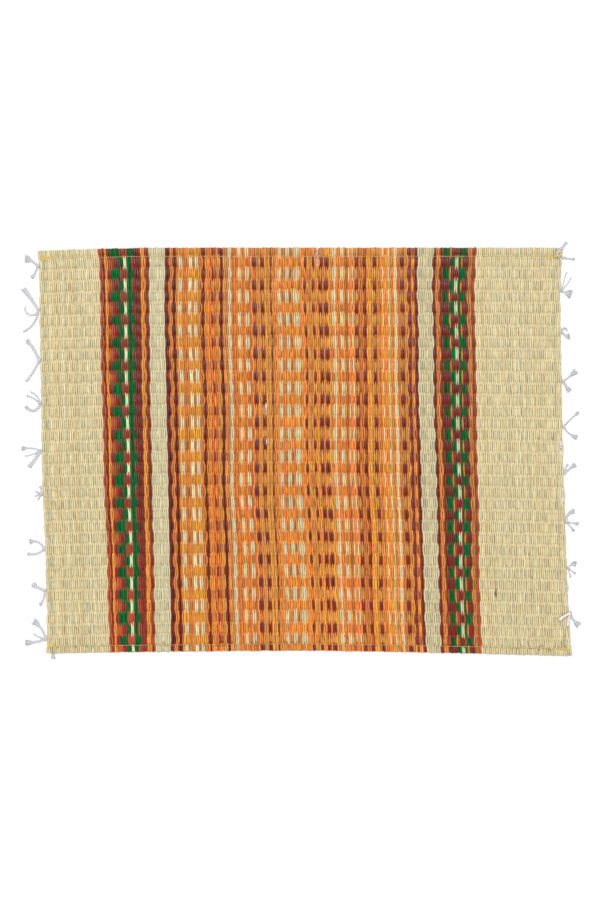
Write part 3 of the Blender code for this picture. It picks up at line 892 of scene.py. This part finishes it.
# %% [markdown]
# ## One whole reed
# Shape and finish come together in one tube. The streaks get a place on the
# stem that is stretched along it, and a number of their own for each reed, far
# enough apart that no two stems show the same streaks. One batch of reeds, right
# of the middle, is a little darker than the rest.

# %% One whole reed
STRAW_TONE, DYED_TONE, BARREL_TONE = 0.040, 0.085, 0.035
DARKER_BATCH = range(190, 217)
DARKER_BY = 0.07
HOLLOW_CREST = 0.90
STREAKS_ACROSS, STREAKS_ALONG = 1.35, 0.07
REED_STEP, SET_STEP = 7.31, 3.17


def make_reed(index, parity, dye_name):
    """One whole reed: its shape first, and then its finish."""
    rings, width, x, y, distance, over = reed_shape(index, parity)
    spread_of_tone = STRAW_TONE if dye_name == "straw" else DYED_TONE
    tone = RNG.normal(0.0, spread_of_tone) + RNG.normal(0.0, BARREL_TONE, len(y))
    # Painted light and shade along every barrel goes into the tone.
    tone = tone + shade_along(y)
    name = own_shade(dye_name, index)
    tone = tone + faded(name, index, y)
    if index in DARKER_BATCH:
        tone = tone - DARKER_BY
    # Painted sheen: pale haze on the far half of each barrel, stronger toward the far end.
    bloom = np.clip((y - SHEEN_FROM) / SHEEN_RUN, LEAST_SHEEN, 1.0)
    bloom = far_half_of_floats(len(y), parity) * bloom
    # Crest 0 on the sides and underside puts the dust colour, partly painted shade, in the gaps
    # between reeds.
    crest = between(HOLLOW_CREST, 1.0, np.abs(over) / NEAR_CREST)
    crest = crest[:, None] * (UPWARDS > 0.0)
    place = width[:, None] * SIDEWAYS * STREAKS_ACROSS
    number = REED_STEP * index + SET_STEP * parity
    return Tube(rings, place, distance * STREAKS_ALONG, number, tone, crest,
                stained(x, y), bloom, DYES.index(name))


print("reeds to weave:", 2 * REEDS_PER_SET)

# %% [markdown]
# ## Weaving the four reed panels
# The two sets are separate meshes, and each is split down the middle, so that
# no mesh is too heavy. They lie flat on the table as one sheet of cloth would,
# and they stand for the plain ribbed solid of the frame.

# %% Weave
HALF = REEDS_PER_SET // 2
PANELS = [("reeds_a_left", 0, REEDS_A, 0, HALF),
          ("reeds_a_right", 0, REEDS_A, HALF, 2 * HALF),
          ("reeds_b_left", 1, REEDS_B, 0, HALF),
          ("reeds_b_right", 1, REEDS_B, HALF, 2 * HALF)]
reed_panels = []
for panel_name, parity, dyes_in_order, start, stop in PANELS:
    reeds = [make_reed(index, parity, dyes_in_order[index]) for index in range(start, stop)]
    panel = tube_piece(panel_name, reeds, DYE_MATERIALS)
    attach(panel, "root")
    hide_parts("mat")
    reed_panels.append(panel)
print("reed panels:", [panel.name for panel in reed_panels])

# %% [markdown]
# ## Round yarns
# Warps, tassels and stitches are round, so they share a helper that sweeps a
# ring along a path. The path is a list of points joined by a smooth curve that
# passes through each of them.

# %% Yarn helpers
def smooth_path(points, per_span):
    """A soft curve through the points, with per_span steps between two of them."""
    points = np.asarray(points, dtype=float)
    before = 2.0 * points[0] - points[1]
    after = 2.0 * points[-1] - points[-2]
    padded = np.vstack((before, points, after))
    t = (np.arange(per_span) / per_span)[:, None]
    spans = []
    for a, b, c, d in zip(padded, padded[1:], padded[2:], padded[3:]):
        bend = (2.0 * a - 5.0 * b + 4.0 * c - d) * t ** 2
        spans.append(0.5 * (2.0 * b + (c - a) * t + bend
                            + (3.0 * b - a - 3.0 * c + d) * t ** 3))
    spans.append(points[-1:])
    return np.vstack(spans)


def make_yarn(path, radius, sides, tone=0.0, slot=0):
    """A tube along a path. radius is one number or one for each point."""
    path = np.asarray(path, dtype=float)
    heading = np.gradient(path, axis=0)
    heading /= np.linalg.norm(heading, axis=1)[:, None] + 1e-9
    side = np.cross((0.0, 0.0, 1.0), heading)
    length = np.linalg.norm(side, axis=1)[:, None]
    side = np.where(length > 1e-3, side / (length + 1e-9), np.array((1.0, 0.0, 0.0)))
    up = np.cross(heading, side)
    turn = 2.0 * np.pi * np.arange(sides) / sides
    radius = np.broadcast_to(radius, len(path))[:, None, None]
    sideways = np.cos(turn)[None, :, None] * side[:, None, :]
    upwards = np.sin(turn)[None, :, None] * up[:, None, :]
    rings = path[:, None, :] + radius * (sideways + upwards)
    rings[..., 2] = np.maximum(rings[..., 2], LEAST_LIFT)
    steps = np.linalg.norm(np.diff(path, axis=0), axis=1)
    along = np.concatenate(((0.0,), np.cumsum(steps)))
    across = np.abs(np.arange(sides) / sides - 0.5)[None, :] * 2.0
    return Tube(rings, across, along, 5.0 * RNG.random(), tone, 1.0, 0.0, 0.0, slot)


TOP_OF_REED = 0.30


def surface_height(distance):
    """The top of the reeds at a distance from the far cut end."""
    nearest = np.abs(np.asarray(distance)[..., None] - ROWS).min(axis=-1)
    swell = np.cos(np.pi * np.clip(nearest / PITCH, 0, 0.5))
    return MID_HEIGHT + SWING * swell + TOP_OF_REED


print("height at a row:", surface_height(ROWS[3]), "between:", surface_height(MIDDLES[3]))

# %% [markdown]
# ## The knots and tails, as measured
# The solids were built from the same rows of numbers, apart from two thin tails
# of the second left knot, which are drawn a little thicker here. Each knot has its
# side, its place along the edge and how far in on the mat it sits. Each tail
# leaves the knot at a heading in degrees and bends evenly over its length. Past
# its split the yarns part and open into a fan. Lift is the height of what the
# tail lies on, and over is how far along the tail that support ends.

# %% Knot and tail tables
CLEARANCE = 0.3
KNOT_RADIUS = 1.4
ON_MAT = 2.8
Knot = namedtuple("Knot", "name side y inset height", defaults=(0.0, 2.7))
KNOTS = [
    Knot("left_1", -1, 159.1), Knot("left_2", -1, 121.4), Knot("left_3", -1, 77.2),
    Knot("left_4", -1, 40.3), Knot("left_5", -1, -0.4), Knot("left_6", -1, -38.1),
    Knot("left_7", -1, -85.8), Knot("left_8", -1, -121.8), Knot("left_9", -1, -163.9),
    Knot("right_1", 1, 170.2, inset=4.4), Knot("right_2", 1, 137.9), Knot("right_3", 1, 101.9),
    Knot("right_4", 1, 59.6), Knot("right_5", 1, 20.1), Knot("right_6", 1, -19.9),
    Knot("right_7", 1, -62.4), Knot("right_8", 1, -102.1), Knot("right_9", 1, -140.9, height=4.4),
]
TAIL_VALUES = "heading length curl width split fan strands lift over"
Tail = namedtuple("Tail", TAIL_VALUES, defaults=(0, 0))
TAILS = {
    "left_1": [Tail(130, 13.5, 45, 1.9, 7.5, 7.5, 4),
               Tail(250, 11.5, -18, 1.6, 7.0, 3.8, 2)],
    "left_2": [Tail(122, 23.0, 6, 2.2, 10.5, 4.6, 3),
               Tail(244, 19.5, -182, 1.25, 16.0, 1.2, 1),
               Tail(264, 24.5, -62, 1.1, 18.0, 2.2, 1)],
    "left_3": [Tail(108, 21.5, 28, 2.2, 16.5, 5.0, 3),
               Tail(245, 21.5, -15, 1.7, 17.0, 2.6, 2)],
    "left_4": [Tail(101, 13.7, 62, 1.0, 11.5, 2.0, 2),
               Tail(135, 13.7, 34, 1.0, 11.5, 2.0, 2),
               Tail(258, 17.2, -148, 1.9, 13.5, 3.6, 3)],
    "left_5": [Tail(160, 17.0, 34, 1.0, 13.0, 4.6, 3),
               Tail(212, 15.0, -30, 0.7, 12.0, 1.2, 1),
               Tail(242, 18.0, -14, 2.5, 13.5, 4.2, 3)],
    "left_6": [Tail(84, 7.2, 46, 0.9, 4.8, 2.4, 2),
               Tail(156, 5.6, 0, 0.8, 3.4, 1.4, 1),
               Tail(198, 6.0, 0, 0.8, 3.4, 1.8, 2),
               Tail(240, 5.8, 0, 0.8, 3.4, 1.4, 1)],
    "left_7": [Tail(112, 16.2, 96, 1.5, 12.5, 5.2, 3),
               Tail(222, 15.8, -58, 1.4, 11.5, 3.0, 2)],
    "left_8": [Tail(158, 12.5, -14, 2.0, 7.0, 4.8, 4),
               Tail(268, 14.0, -38, 1.4, 10.5, 3.2, 3)],
    "left_9": [Tail(105, 19.5, 42, 1.7, 13.0, 6.4, 4),
               Tail(165, 12.0, -16, 0.6, 9.0, 1.0, 1),
               Tail(199, 18.5, -20, 1.6, 11.0, 5.4, 3)],
    "right_1": [Tail(51, 13.5, -6, 1.6, 11.0, 3.2, 2, ON_MAT, 7.6),
                Tail(326, 16.8, 38, 1.2, 14.0, 3.2, 2, ON_MAT, 6.2)],
    "right_2": [Tail(78, 17.0, -8, 0.8, 15.0, 1.6, 2),
                Tail(48, 15.0, 10, 0.8, 13.0, 1.6, 2),
                Tail(338, 9.4, 2, 1.6, 4.2, 8.6, 5)],
    "right_3": [Tail(98, 9.0, -210, 0.8, 7.4, 1.0, 1),
                Tail(308, 7.8, 62, 1.3, 4.2, 6.4, 4)],
    "right_4": [Tail(35, 15.0, 6, 1.3, 8.0, 5.8, 2),
                Tail(300, 11.0, 8, 2.0, 6.0, 4.8, 4)],
    "right_5": [Tail(50, 18.2, -12, 1.3, 15.0, 3.6, 3),
                Tail(302, 15.5, 42, 1.3, 10.5, 5.0, 4)],
    "right_6": [Tail(40, 12.0, -4, 1.6, 6.5, 5.2, 4),
                Tail(84, 8.4, -36, 0.8, 5.6, 2.4, 2)],
    "right_7": [Tail(94, 13.2, -90, 1.5, 6.5, 5.0, 4),
                Tail(351, 10.8, 0, 0.9, 6.5, 3.6, 3),
                Tail(309, 10.6, 0, 0.9, 7.2, 3.2, 3)],
    "right_8": [Tail(52, 8.8, -70, 1.1, 4.2, 5.6, 4),
                Tail(318, 8.4, 8, 0.8, 5.4, 2.2, 2),
                Tail(282, 8.8, 6, 0.8, 6.0, 2.0, 2)],
    "right_9": [Tail(205, 12.0, 18, 1.8, 7.6, 3.4, 3, ON_MAT, 99.0),
                Tail(250, 12.4, 18, 1.3, 8.0, 2.8, 2, ON_MAT, 99.0),
                Tail(287, 14.4, 40, 1.8, 8.4, 6.0, 4)],
}


def knot_centre(knot):
    """How far across the middle of a knot is."""
    edge = edge_x(knot.side, knot.y)
    if knot.inset:
        return edge - knot.side * knot.inset
    return edge + knot.side * (CLEARANCE + KNOT_RADIUS)


print("knots:", len(KNOTS), "tails:", sum(len(tails) for tails in TAILS.values()))

# %% [markdown]
# ## The warps
# A warp runs straight through the middle of the sheet, between the reeds that
# pass over it and those that pass under it, so only specks of it show, and the
# part inside the mat is darker than its ends. Past the last reed it turns along
# the edge and runs to the knot of its group. The left side gathers four warps to
# a knot. The right side does too, but it starts with two, so its last knot holds six.

# %% Warps
WARP_RADIUS = 0.34
IN_MAT_TONE = 0.30
IN_MAT_STATIONS = 56
TURN_STEPS = 5
LONG_WAY = 4.0
LOW_LANE, SPARE_LANE = 0.40, 0.12
LEFT_GROUPS = [range(start, start + 4) for start in range(0, ROW_COUNT, 4)]
RIGHT_GROUPS = [range(0, 2)] + [range(start, start + 4) for start in range(2, 30, 4)]
RIGHT_GROUPS.append(range(30, ROW_COUNT))


def knot_of_row(row, side):
    """The knot that a warp runs to on one side."""
    groups = LEFT_GROUPS if side < 0 else RIGHT_GROUPS
    number = [row in group for group in groups].index(True) + 1
    name = ("left_" if side < 0 else "right_") + str(number)
    return next(knot for knot in KNOTS if knot.name == name)


def warp_end(row, side):
    """From the last reed along the edge of the mat to the knot."""
    down = ROWS[row] / REED_LENGTH
    edge, y = mat_point(0.0 if side < 0 else 1.0, down)
    knot = knot_of_row(row, side)
    way = 1.0 if knot.y > y else -1.0
    gap = abs(knot.y - y)
    lane = LOW_LANE + SPARE_LANE * RNG.random() + 0.005 * gap
    points = [(edge + side * 0.1, y, MID_HEIGHT - 0.05)]
    if knot.inset:
        points.append((edge + side * 0.5, y + way * 0.4, 2.0))
        points.append((edge - side * 1.2, between(y, knot.y, 0.5), 2.75))
        points.append((knot_centre(knot), knot.y, ON_MAT + 0.9))
        return points
    if gap > LONG_WAY:
        points.append((edge + side * lane, y + way * 1.2, 0.75))
        middle = between(y, knot.y, 0.55)
        stray = lane + 0.1 * RNG.random()
        points.append((edge_x(side, middle) + side * stray, middle, 0.5))
        turn_in = knot.y - way * 1.6
        points.append((edge_x(side, turn_in) + side * (lane + 0.25), turn_in, 0.8))
    points.append((knot_centre(knot), knot.y, 0.5 * KNOT_RADIUS + 0.5))
    return points


def make_warp(row):
    """One warp from knot to knot."""
    across = np.linspace(0.004, 0.996, IN_MAT_STATIONS)
    x, y = mat_point(across, ROWS[row] / REED_LENGTH)
    inside = np.stack((x, y, np.full(len(x), MID_HEIGHT)), axis=1)
    left = smooth_path(warp_end(row, -1)[::-1], TURN_STEPS)
    right = smooth_path(warp_end(row, 1), TURN_STEPS)
    path = np.vstack((left, inside, right))
    own_tone = RNG.normal(0.0, 0.03)
    radius = WARP_RADIUS * RNG.normal(1.0, 0.05)
    in_mat = np.zeros(len(path))
    in_mat[len(left) + 1:len(left) + len(inside) - 1] = 1.0
    return make_yarn(path, radius, 6, own_tone - IN_MAT_TONE * in_mat)


warps = tube_piece("warps", [make_warp(row) for row in range(ROW_COUNT)], [WARP_COTTON])
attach(warps, "root")
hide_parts("mat")
print("warps:", ROW_COUNT)

# %% [markdown]
# ## Machine stitching
# The yellow line is a lockstitch: each stitch lies on top for about two and a
# half millimetres, dives through a hole, and is held from below by a second
# thread. A line painted on the reeds would stay flat in the light, so each
# stitch is a short bent thread of its own.

# %% Stitch lines
STITCH = 2.5
STITCH_RADIUS = 0.2
STITCH_SHARES = np.array((0.0, 0.10, 0.28, 0.5, 0.72, 0.90, 1.0))
STITCH_RISE = np.array((-0.75, -0.12, 0.10, 0.16, 0.10, -0.12, -0.75))
HOLE_SHARE = 0.05
BOBBIN_HEIGHT = 0.24
UNEVEN_THREAD, UNEVEN_ROW = 0.06, 0.09
THREAD_TONE = 0.06
SEAM_LENGTH = 452.0
SEAM_STITCHES = int(SEAM_LENGTH / STITCH)
FAR_SEAM = 7.3
NEAR_SEAM = REED_LENGTH - 5.6
PACKED = 1
OVER_KNOT_X = (218.6, 220.7, 224.4, 226.8)
OVER_KNOT_LIFT = (0.0, 3.3, 3.3, 2.5)


def distance_at(x, y):
    """Distance from the far cut end of a place on the mat."""
    far = np.interp(x, CUT_X, CUT_FAR)
    near = np.interp(x, CUT_X, CUT_NEAR)
    return (far - y) / (far - near) * REED_LENGTH


def lay_stitch(start, end, slot=0):
    """One stitch on top of the reeds, from hole to hole."""
    x = between(start[0], end[0], STITCH_SHARES)
    y = between(start[1], end[1], STITCH_SHARES)
    top = surface_height(distance_at(x, y)).min()
    if slot == PACKED and start[1] > 0.0:
        top = top + np.interp(x, OVER_KNOT_X, OVER_KNOT_LIFT)
    path = np.stack((x, y, top + STITCH_RADIUS + STITCH_RISE), axis=1)
    radius = STITCH_RADIUS * RNG.normal(1.0, UNEVEN_THREAD)
    return make_yarn(path, radius, 6, RNG.normal(0.0, THREAD_TONE), slot)


def stitch_row(points, slot=0):
    """Stitches along a line of points, each a little out of line."""
    stitches = []
    points = [(x, y + RNG.normal(0.0, UNEVEN_ROW)) for x, y in points]
    for start, end in zip(points, points[1:]):
        gap = HOLE_SHARE * (end[0] - start[0])
        first = (start[0] + gap, start[1])
        last = (end[0] - gap, end[1])
        stitches.append(lay_stitch(first, last, slot))
    return stitches


def seam(distance):
    """The whole lockstitch line across the mat, top thread and bobbin thread."""
    across = np.linspace(0.0015, 0.9985, SEAM_STITCHES)
    x, y = mat_point(across, distance / REED_LENGTH)
    stitches = stitch_row(zip(x, y))
    path = np.stack((x, y, np.full(SEAM_STITCHES, BOBBIN_HEIGHT)), axis=1)
    stitches.append(make_yarn(path, STITCH_RADIUS, 6))
    return stitches


print("stitches in a line:", SEAM_STITCHES)

# %% [markdown]
# ## Corner patches
# At the corners the machine went back and forth, which left a dense patch: four
# or five short rows of stitches laid close together, at the height of the reeds
# below them. The far right one runs at a slant and was sewn over the first
# tassel's knot, so its stitches rise with the knot.

# %% Corner patches
PACKED_STITCH = 2.1
PACKED_SHIFT = 0.8
Patch = namedtuple("Patch", "seam left right y_left y_right spacing rows")
PATCHES = [
    Patch("far", -225.4, -215.3, 166.9, 167.0, -0.62, 5),
    Patch("far", 214.4, 226.6, 168.2, 169.8, -0.62, 4),
    Patch("near", -218.9, -209.4, -168.8, -168.9, -0.60, 4),
    Patch("near", 225.8, 233.4, -171.0, -171.4, -0.55, 4),
]


def patch_rows(patch):
    """The stitches of one corner patch."""
    stitches = []
    for row in range(patch.rows):
        count = int((patch.right - patch.left) / PACKED_STITCH) + 1
        shift = PACKED_SHIFT * RNG.random()
        x = np.linspace(patch.left + shift * 0.5, patch.right - shift * 0.5, count)
        share = (x - patch.left) / (patch.right - patch.left)
        y = between(patch.y_left, patch.y_right, share) + row * patch.spacing
        stitches += stitch_row(zip(x, y), PACKED)
    return stitches


print("patches:", len(PATCHES), "rows:", sum(patch.rows for patch in PATCHES))

# %% [markdown]
# ## Sewing the two ends
# Each cut end is one piece: its long line of stitches, the thread below and its
# two corner patches. They belong to the mat, so they stand for the same solid.

# %% Sewing
seams = []
for seam_name, seam_distance in (("far", FAR_SEAM), ("near", NEAR_SEAM)):
    threads = seam(seam_distance)
    for patch in PATCHES:
        if patch.seam == seam_name:
            threads += patch_rows(patch)
    piece = tube_piece("stitching_" + seam_name, threads, [SEWING_THREAD, PACKED_THREAD])
    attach(piece, "root")
    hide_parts("mat")
    seams.append(piece)
print("seams:", [piece.name for piece in seams])

# %% [markdown]
# ## The tails of a tassel
# The first part of a tail is a cord: its yarns are still twisted round each
# other. Then the twist opens, the yarns part, and the last centimetre frays
# into a brush of loose fibres. Particle hair could draw the brush, but it would
# not be part of the mesh, so each fibre is a thin tube of its own.

# %% Tail path
DROP_RUN = 3.5


def ease(share):
    """From 0 to 1 with a soft start and a soft end."""
    share = np.clip(share, 0.0, 1.0)
    return share * share * (3.0 - 2.0 * share)


def along_tail(centre, radius, tail, distance):
    """Places and headings at distances from the middle of the knot."""
    start = math.radians(tail.heading)
    straight = np.minimum(distance, radius)
    x = centre[0] + straight * math.cos(start)
    y = centre[1] + straight * math.sin(start)
    rest = distance - straight
    bend = math.radians(tail.curl) / (tail.length - radius)
    now = start + bend * rest
    if abs(bend) < 1e-6:
        return x + rest * math.cos(start), y + rest * math.sin(start), now
    x = x + (np.sin(now) - math.sin(start)) / bend
    y = y - (np.cos(now) - math.cos(start)) / bend
    return x, y, now


def tail_floor(tail, distance):
    """Height of what the tail lies on: the mat, or the table past its edge."""
    if not tail.lift:
        return np.zeros_like(distance)
    return tail.lift * (1.0 - ease((distance - tail.over) / DROP_RUN))


def beside(centre, radius, tail, distance, aside, height):
    """A path at a sideways offset from the line of the tail."""
    x, y, heading = along_tail(centre, radius, tail, distance)
    x = x - np.sin(heading) * aside
    y = y + np.cos(heading) * aside
    return np.stack((x, y, tail_floor(tail, distance) + height), axis=1)


print("tail path ready")

# %% [markdown]
# ## Yarns and fibres
# Each yarn goes round the line of the tail as it leaves the knot, and past the
# split it heads for its own place in the fan. More yarns in a tail are thinner
# ones, since they crowd together. The fibres start inside the last part of the
# yarns and spread out between them, each with a small wave.

# %% Yarns and fibres
FIBRES_PER_MM = 3.8
FIBRE_RADIUS = 0.2
FIBRE_STATIONS = 9
TWIST_TURNS = 0.16
YARN_SHARE = 0.87
YARN_CROWDING = 0.6
THICKEST_YARN = 0.792
ORBIT_SHARE = 0.62
YARN_ROOM = 0.6
YARN_TIP, FIBRE_TIP = 0.85, 0.55
YARN_TONE, FIBRE_TONE = 0.04, 0.12
FIBRE_WAVE = 0.16
ALL_OVER = 50.0
CLEAN_SLOT = 2


def cotton_slot(tail, usual):
    """A tail that lies on the mat all the way has kept cleaner."""
    return CLEAN_SLOT if tail.over > ALL_OVER else usual


def tail_yarns(centre, radius, tail):
    """The yarns of a tail: twisted at first, then each in its own place."""
    yarns = []
    count = tail.strands
    thick = YARN_SHARE * tail.width / (1.0 + YARN_CROWDING * (count - 1))
    thick = min(thick, THICKEST_YARN)
    orbit = max(0.0, ORBIT_SHARE * tail.width - thick)
    phase = 2.0 * math.pi * RNG.random()
    for number in range(count):
        spot = (number + 0.5) / count - 0.5
        reach = tail.length * RNG.uniform(0.90, 0.99)
        distance = np.linspace(0.3, reach, max(10, int(reach * 1.6)))
        turn = phase + 2.0 * math.pi * (number / count + TWIST_TURNS * distance)
        past_split = (distance - tail.split) / (tail.length - tail.split)
        opened = ease(past_split)
        free = np.clip(past_split, 0.0, 1.0)
        aside = orbit * np.cos(turn) * (1.0 - opened) - spot * tail.fan * 0.9 * free
        rise = max(0.0, YARN_ROOM - thick) * (1.0 + np.sin(turn)) * (1.0 - opened)
        girth = thick * between(1.0, YARN_TIP, free)
        path = beside(centre, radius, tail, distance, aside, girth + rise)
        tone = RNG.normal(0.0, YARN_TONE)
        yarns.append(make_yarn(path, girth, 8, tone, cotton_slot(tail, 0)))
    return yarns


def tail_fibres(centre, radius, tail):
    """The loose fibres at the end of a tail."""
    fibres = []
    count = max(3, int(round(tail.fan * FIBRES_PER_MM)))
    root = tail.split - 0.12 * (tail.length - tail.split) - 0.6
    for number in range(count):
        spot = (number + RNG.uniform(0.2, 0.8)) / count - 0.5
        reach = tail.length * RNG.uniform(0.90, 1.03)
        distance = np.linspace(root, reach, FIBRE_STATIONS)
        free = (distance - root) / (reach - root)
        wave = np.sin(2.0 * math.pi * (free * RNG.uniform(0.6, 1.4) + RNG.random()))
        fan = between(tail.width * 0.8, tail.fan, free)
        aside = -spot * fan + FIBRE_WAVE * wave * free
        height = between(RNG.uniform(0.3, 0.8), RNG.uniform(0.16, 0.7), free)
        girth = FIBRE_RADIUS * between(1.0, FIBRE_TIP, free)
        height = np.maximum(height, girth)
        path = beside(centre, radius, tail, distance, aside, height)
        tone = RNG.normal(-0.04, FIBRE_TONE)
        fibres.append(make_yarn(path, girth, 4, tone, cotton_slot(tail, 1)))
    return fibres


print("fibres for each millimetre of fan:", FIBRES_PER_MM)

# %% [markdown]
# ## The knots
# Each knot is an overhand knot: the gathered yarn wraps round itself two or
# three times and is pulled tight, which leaves a small round lump. A ball with
# a bump map would look moulded, so here a yarn winds in a close spiral round
# the bundle. The knot at the near right stands taller, since its tails lie on
# top of the mat, and its turns are stacked upwards.

# %% Knots
WRAP_RADIUS = 0.42
CORE_STATIONS = 9
TALL_TURNS, FLAT_TURNS = 4.2, 3.1


def knot_wraps(x, y, floor, height, side, radius):
    """A yarn wound round the bundle, lying down or stacked upwards."""
    tall = height > 2.0 * radius + 0.3
    turns = TALL_TURNS if tall else FLAT_TURNS
    share = np.linspace(0.0, 1.0, int(turns * 12))
    turn = 2.0 * math.pi * turns * share
    belly = np.sin(math.pi * share)
    ring = between(0.55, 0.93, belly) * (radius - WRAP_RADIUS) / 0.98
    if tall:
        place = (x + ring * np.cos(turn), y + ring * np.sin(turn),
                 floor + between(WRAP_RADIUS, height - WRAP_RADIUS, share))
    else:
        span = (radius - WRAP_RADIUS) * between(-1.0, 1.0, share)
        place = (x + side * span + 0.25 * np.sin(turn), y + ring * np.cos(turn),
                 floor + 0.5 * height + ring * np.sin(turn))
    return make_yarn(np.stack(place, axis=1), WRAP_RADIUS, 8, RNG.normal(0.0, 0.03))


def knot_core(x, y, floor, height, side, radius):
    """The bundle inside the wraps."""
    share = np.linspace(-1.0, 1.0, CORE_STATIONS)
    girth = (radius - 0.25) * np.sqrt(np.clip(1.0 - (0.92 * share) ** 2, 0.0, 1.0))
    middle = floor + 0.5 * min(height, 2.0 * radius)
    path = np.stack((x + side * share * radius * 0.9, np.full(CORE_STATIONS, y),
                     np.full(CORE_STATIONS, middle)), axis=1)
    return make_yarn(path, girth * 0.8, 8, -0.1)


def make_tassel(name, centre, floor, height, side, radius, tails):
    """A knot with its tails, as one piece."""
    tubes = [knot_wraps(*centre, floor, height, side, radius),
             knot_core(*centre, floor, height, side, radius)]
    for tail in tails:
        tubes += tail_yarns(centre, radius, tail)
        tubes += tail_fibres(centre, radius, tail)
    piece = tube_piece(name, tubes, [TASSEL_COTTON, FIBRE_COTTON, CLEAN_COTTON])
    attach(piece, "root")
    return piece


for knot in KNOTS:
    centre = (float(knot_centre(knot)), knot.y)
    floor = ON_MAT if knot.inset else 0.0
    tassel = make_tassel("yarn_" + knot.name, centre, floor, knot.height, knot.side,
                         KNOT_RADIUS, TAILS[knot.name])
    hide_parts("tassel_" + knot.name)
print("tassels:", len(KNOTS))

# %% [markdown]
# ## A loose pair of thread ends
# The near seam's thread was left uncut close to the left corner, and its ends
# stick out under the cut edge as one short thick tuft. It is made like a tassel
# with a single tail, only much smaller.

# %% Thread ends
END_X = -214.2
END_RADIUS = 0.9
END_HEIGHT = 1.3
END_TAIL = Tail(278, 3.9, -14, 2.2, 0.6, 4.2, 3)
end_edge = float(np.interp(END_X, CUT_X, CUT_NEAR))
end_centre = (END_X, end_edge - CLEARANCE - END_RADIUS)
thread_end = make_tassel("loose_thread", end_centre, 0.0, END_HEIGHT, -1, END_RADIUS,
                         [END_TAIL])
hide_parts("thread_end")
print("thread end below the near edge at", round(end_edge, 1))

# %% [markdown]
# ## The table
# The mat lies on a plain white table, which isn't part of it. A slightly soft
# white, nearly as bright as the paper of a catalogue page, keeps the cotton
# tassels readable.

# %% Table
TABLE_HALF = 4.0


def table_material():
    material, tree, surface = new_material("white table", 0.0)
    cloud = add_node(tree, "ShaderNodeTexNoise")
    cloud.inputs["Scale"].default_value = 3.0
    ramp = add_node(tree, "ShaderNodeValToRGB")
    ramp.color_ramp.elements[0].color = (0.90, 0.90, 0.90, 1.0)
    ramp.color_ramp.elements[1].color = (0.92, 0.92, 0.92, 1.0)
    wire(tree, cloud.outputs["Fac"], ramp.inputs["Fac"])
    wire(tree, ramp.outputs["Color"], surface.inputs["Base Color"])
    surface.inputs["Roughness"].default_value = 0.9
    return material


corners = [(-TABLE_HALF, -TABLE_HALF, 0.0), (TABLE_HALF, -TABLE_HALF, 0.0),
           (TABLE_HALF, TABLE_HALF, 0.0), (-TABLE_HALF, TABLE_HALF, 0.0)]
table_mesh = bpy.data.meshes.new("table")
table_mesh.from_pydata(corners, [], [(0, 1, 2, 3)])
table_mesh.materials.append(table_material())
table = bpy.data.objects.new("table", table_mesh)
bpy.context.scene.collection.objects.link(table)
print("table is", 2 * TABLE_HALF, "m wide")

# %% [markdown]
# ## Light
# The picture has hardly any shadow, so most light comes from all round. One
# large cool lamp stands beyond the far end and shapes the barrels, and a weak
# warm one before the near end keeps the side that faces it from going grey.

# %% Light
world = bpy.data.worlds.new("soft white room")
world.use_nodes = True
background = world.node_tree.nodes["Background"]
background.inputs["Color"].default_value = (0.985, 0.99, 1.0, 1.0)
background.inputs["Strength"].default_value = 0.74
bpy.context.scene.world = world


def add_lamp(name, place, size, watts, colour):
    light = bpy.data.lights.new(name, "AREA")
    light.shape = "RECTANGLE"
    light.size, light.size_y = size
    light.energy = watts
    light.color = colour
    lamp = bpy.data.objects.new(name, light)
    lamp.location = place
    lamp.rotation_euler = (-math.atan2(place[1], place[2]), 0.0, 0.0)
    bpy.context.scene.collection.objects.link(lamp)
    return lamp


far_lamp = add_lamp("far lamp", (0.0, 1.15, 2.3), (2.0, 0.6), 36.0, (0.94, 0.965, 1.0))
near_lamp = add_lamp("near lamp", (0.0, -1.0, 1.1), (1.2, 0.5), 3.5, (1.0, 0.93, 0.80))
print("lamps:", far_lamp.name, "and", near_lamp.name)

# %% [markdown]
# ## Camera and colours
# The photograph was taken from straight above with its top at the far end. A
# long lens keeps the edges square. The standard view shows the dyes as they are
# written in the table, where a filmic one would grey them.

# %% Camera
CAMERA_HEIGHT = 1.842
camera_data = bpy.data.cameras.new("overhead")
camera_data.lens = 85.0
camera_data.sensor_width = 36.0
camera_data.clip_start = 0.05
camera = bpy.data.objects.new("overhead", camera_data)
camera.location = (0.0, 0.0, CAMERA_HEIGHT)
bpy.context.scene.collection.objects.link(camera)
bpy.context.scene.camera = camera
bpy.context.scene.view_settings.view_transform = "Standard"
bpy.context.scene.view_settings.look = "None"
print("camera at", tuple(camera.location))
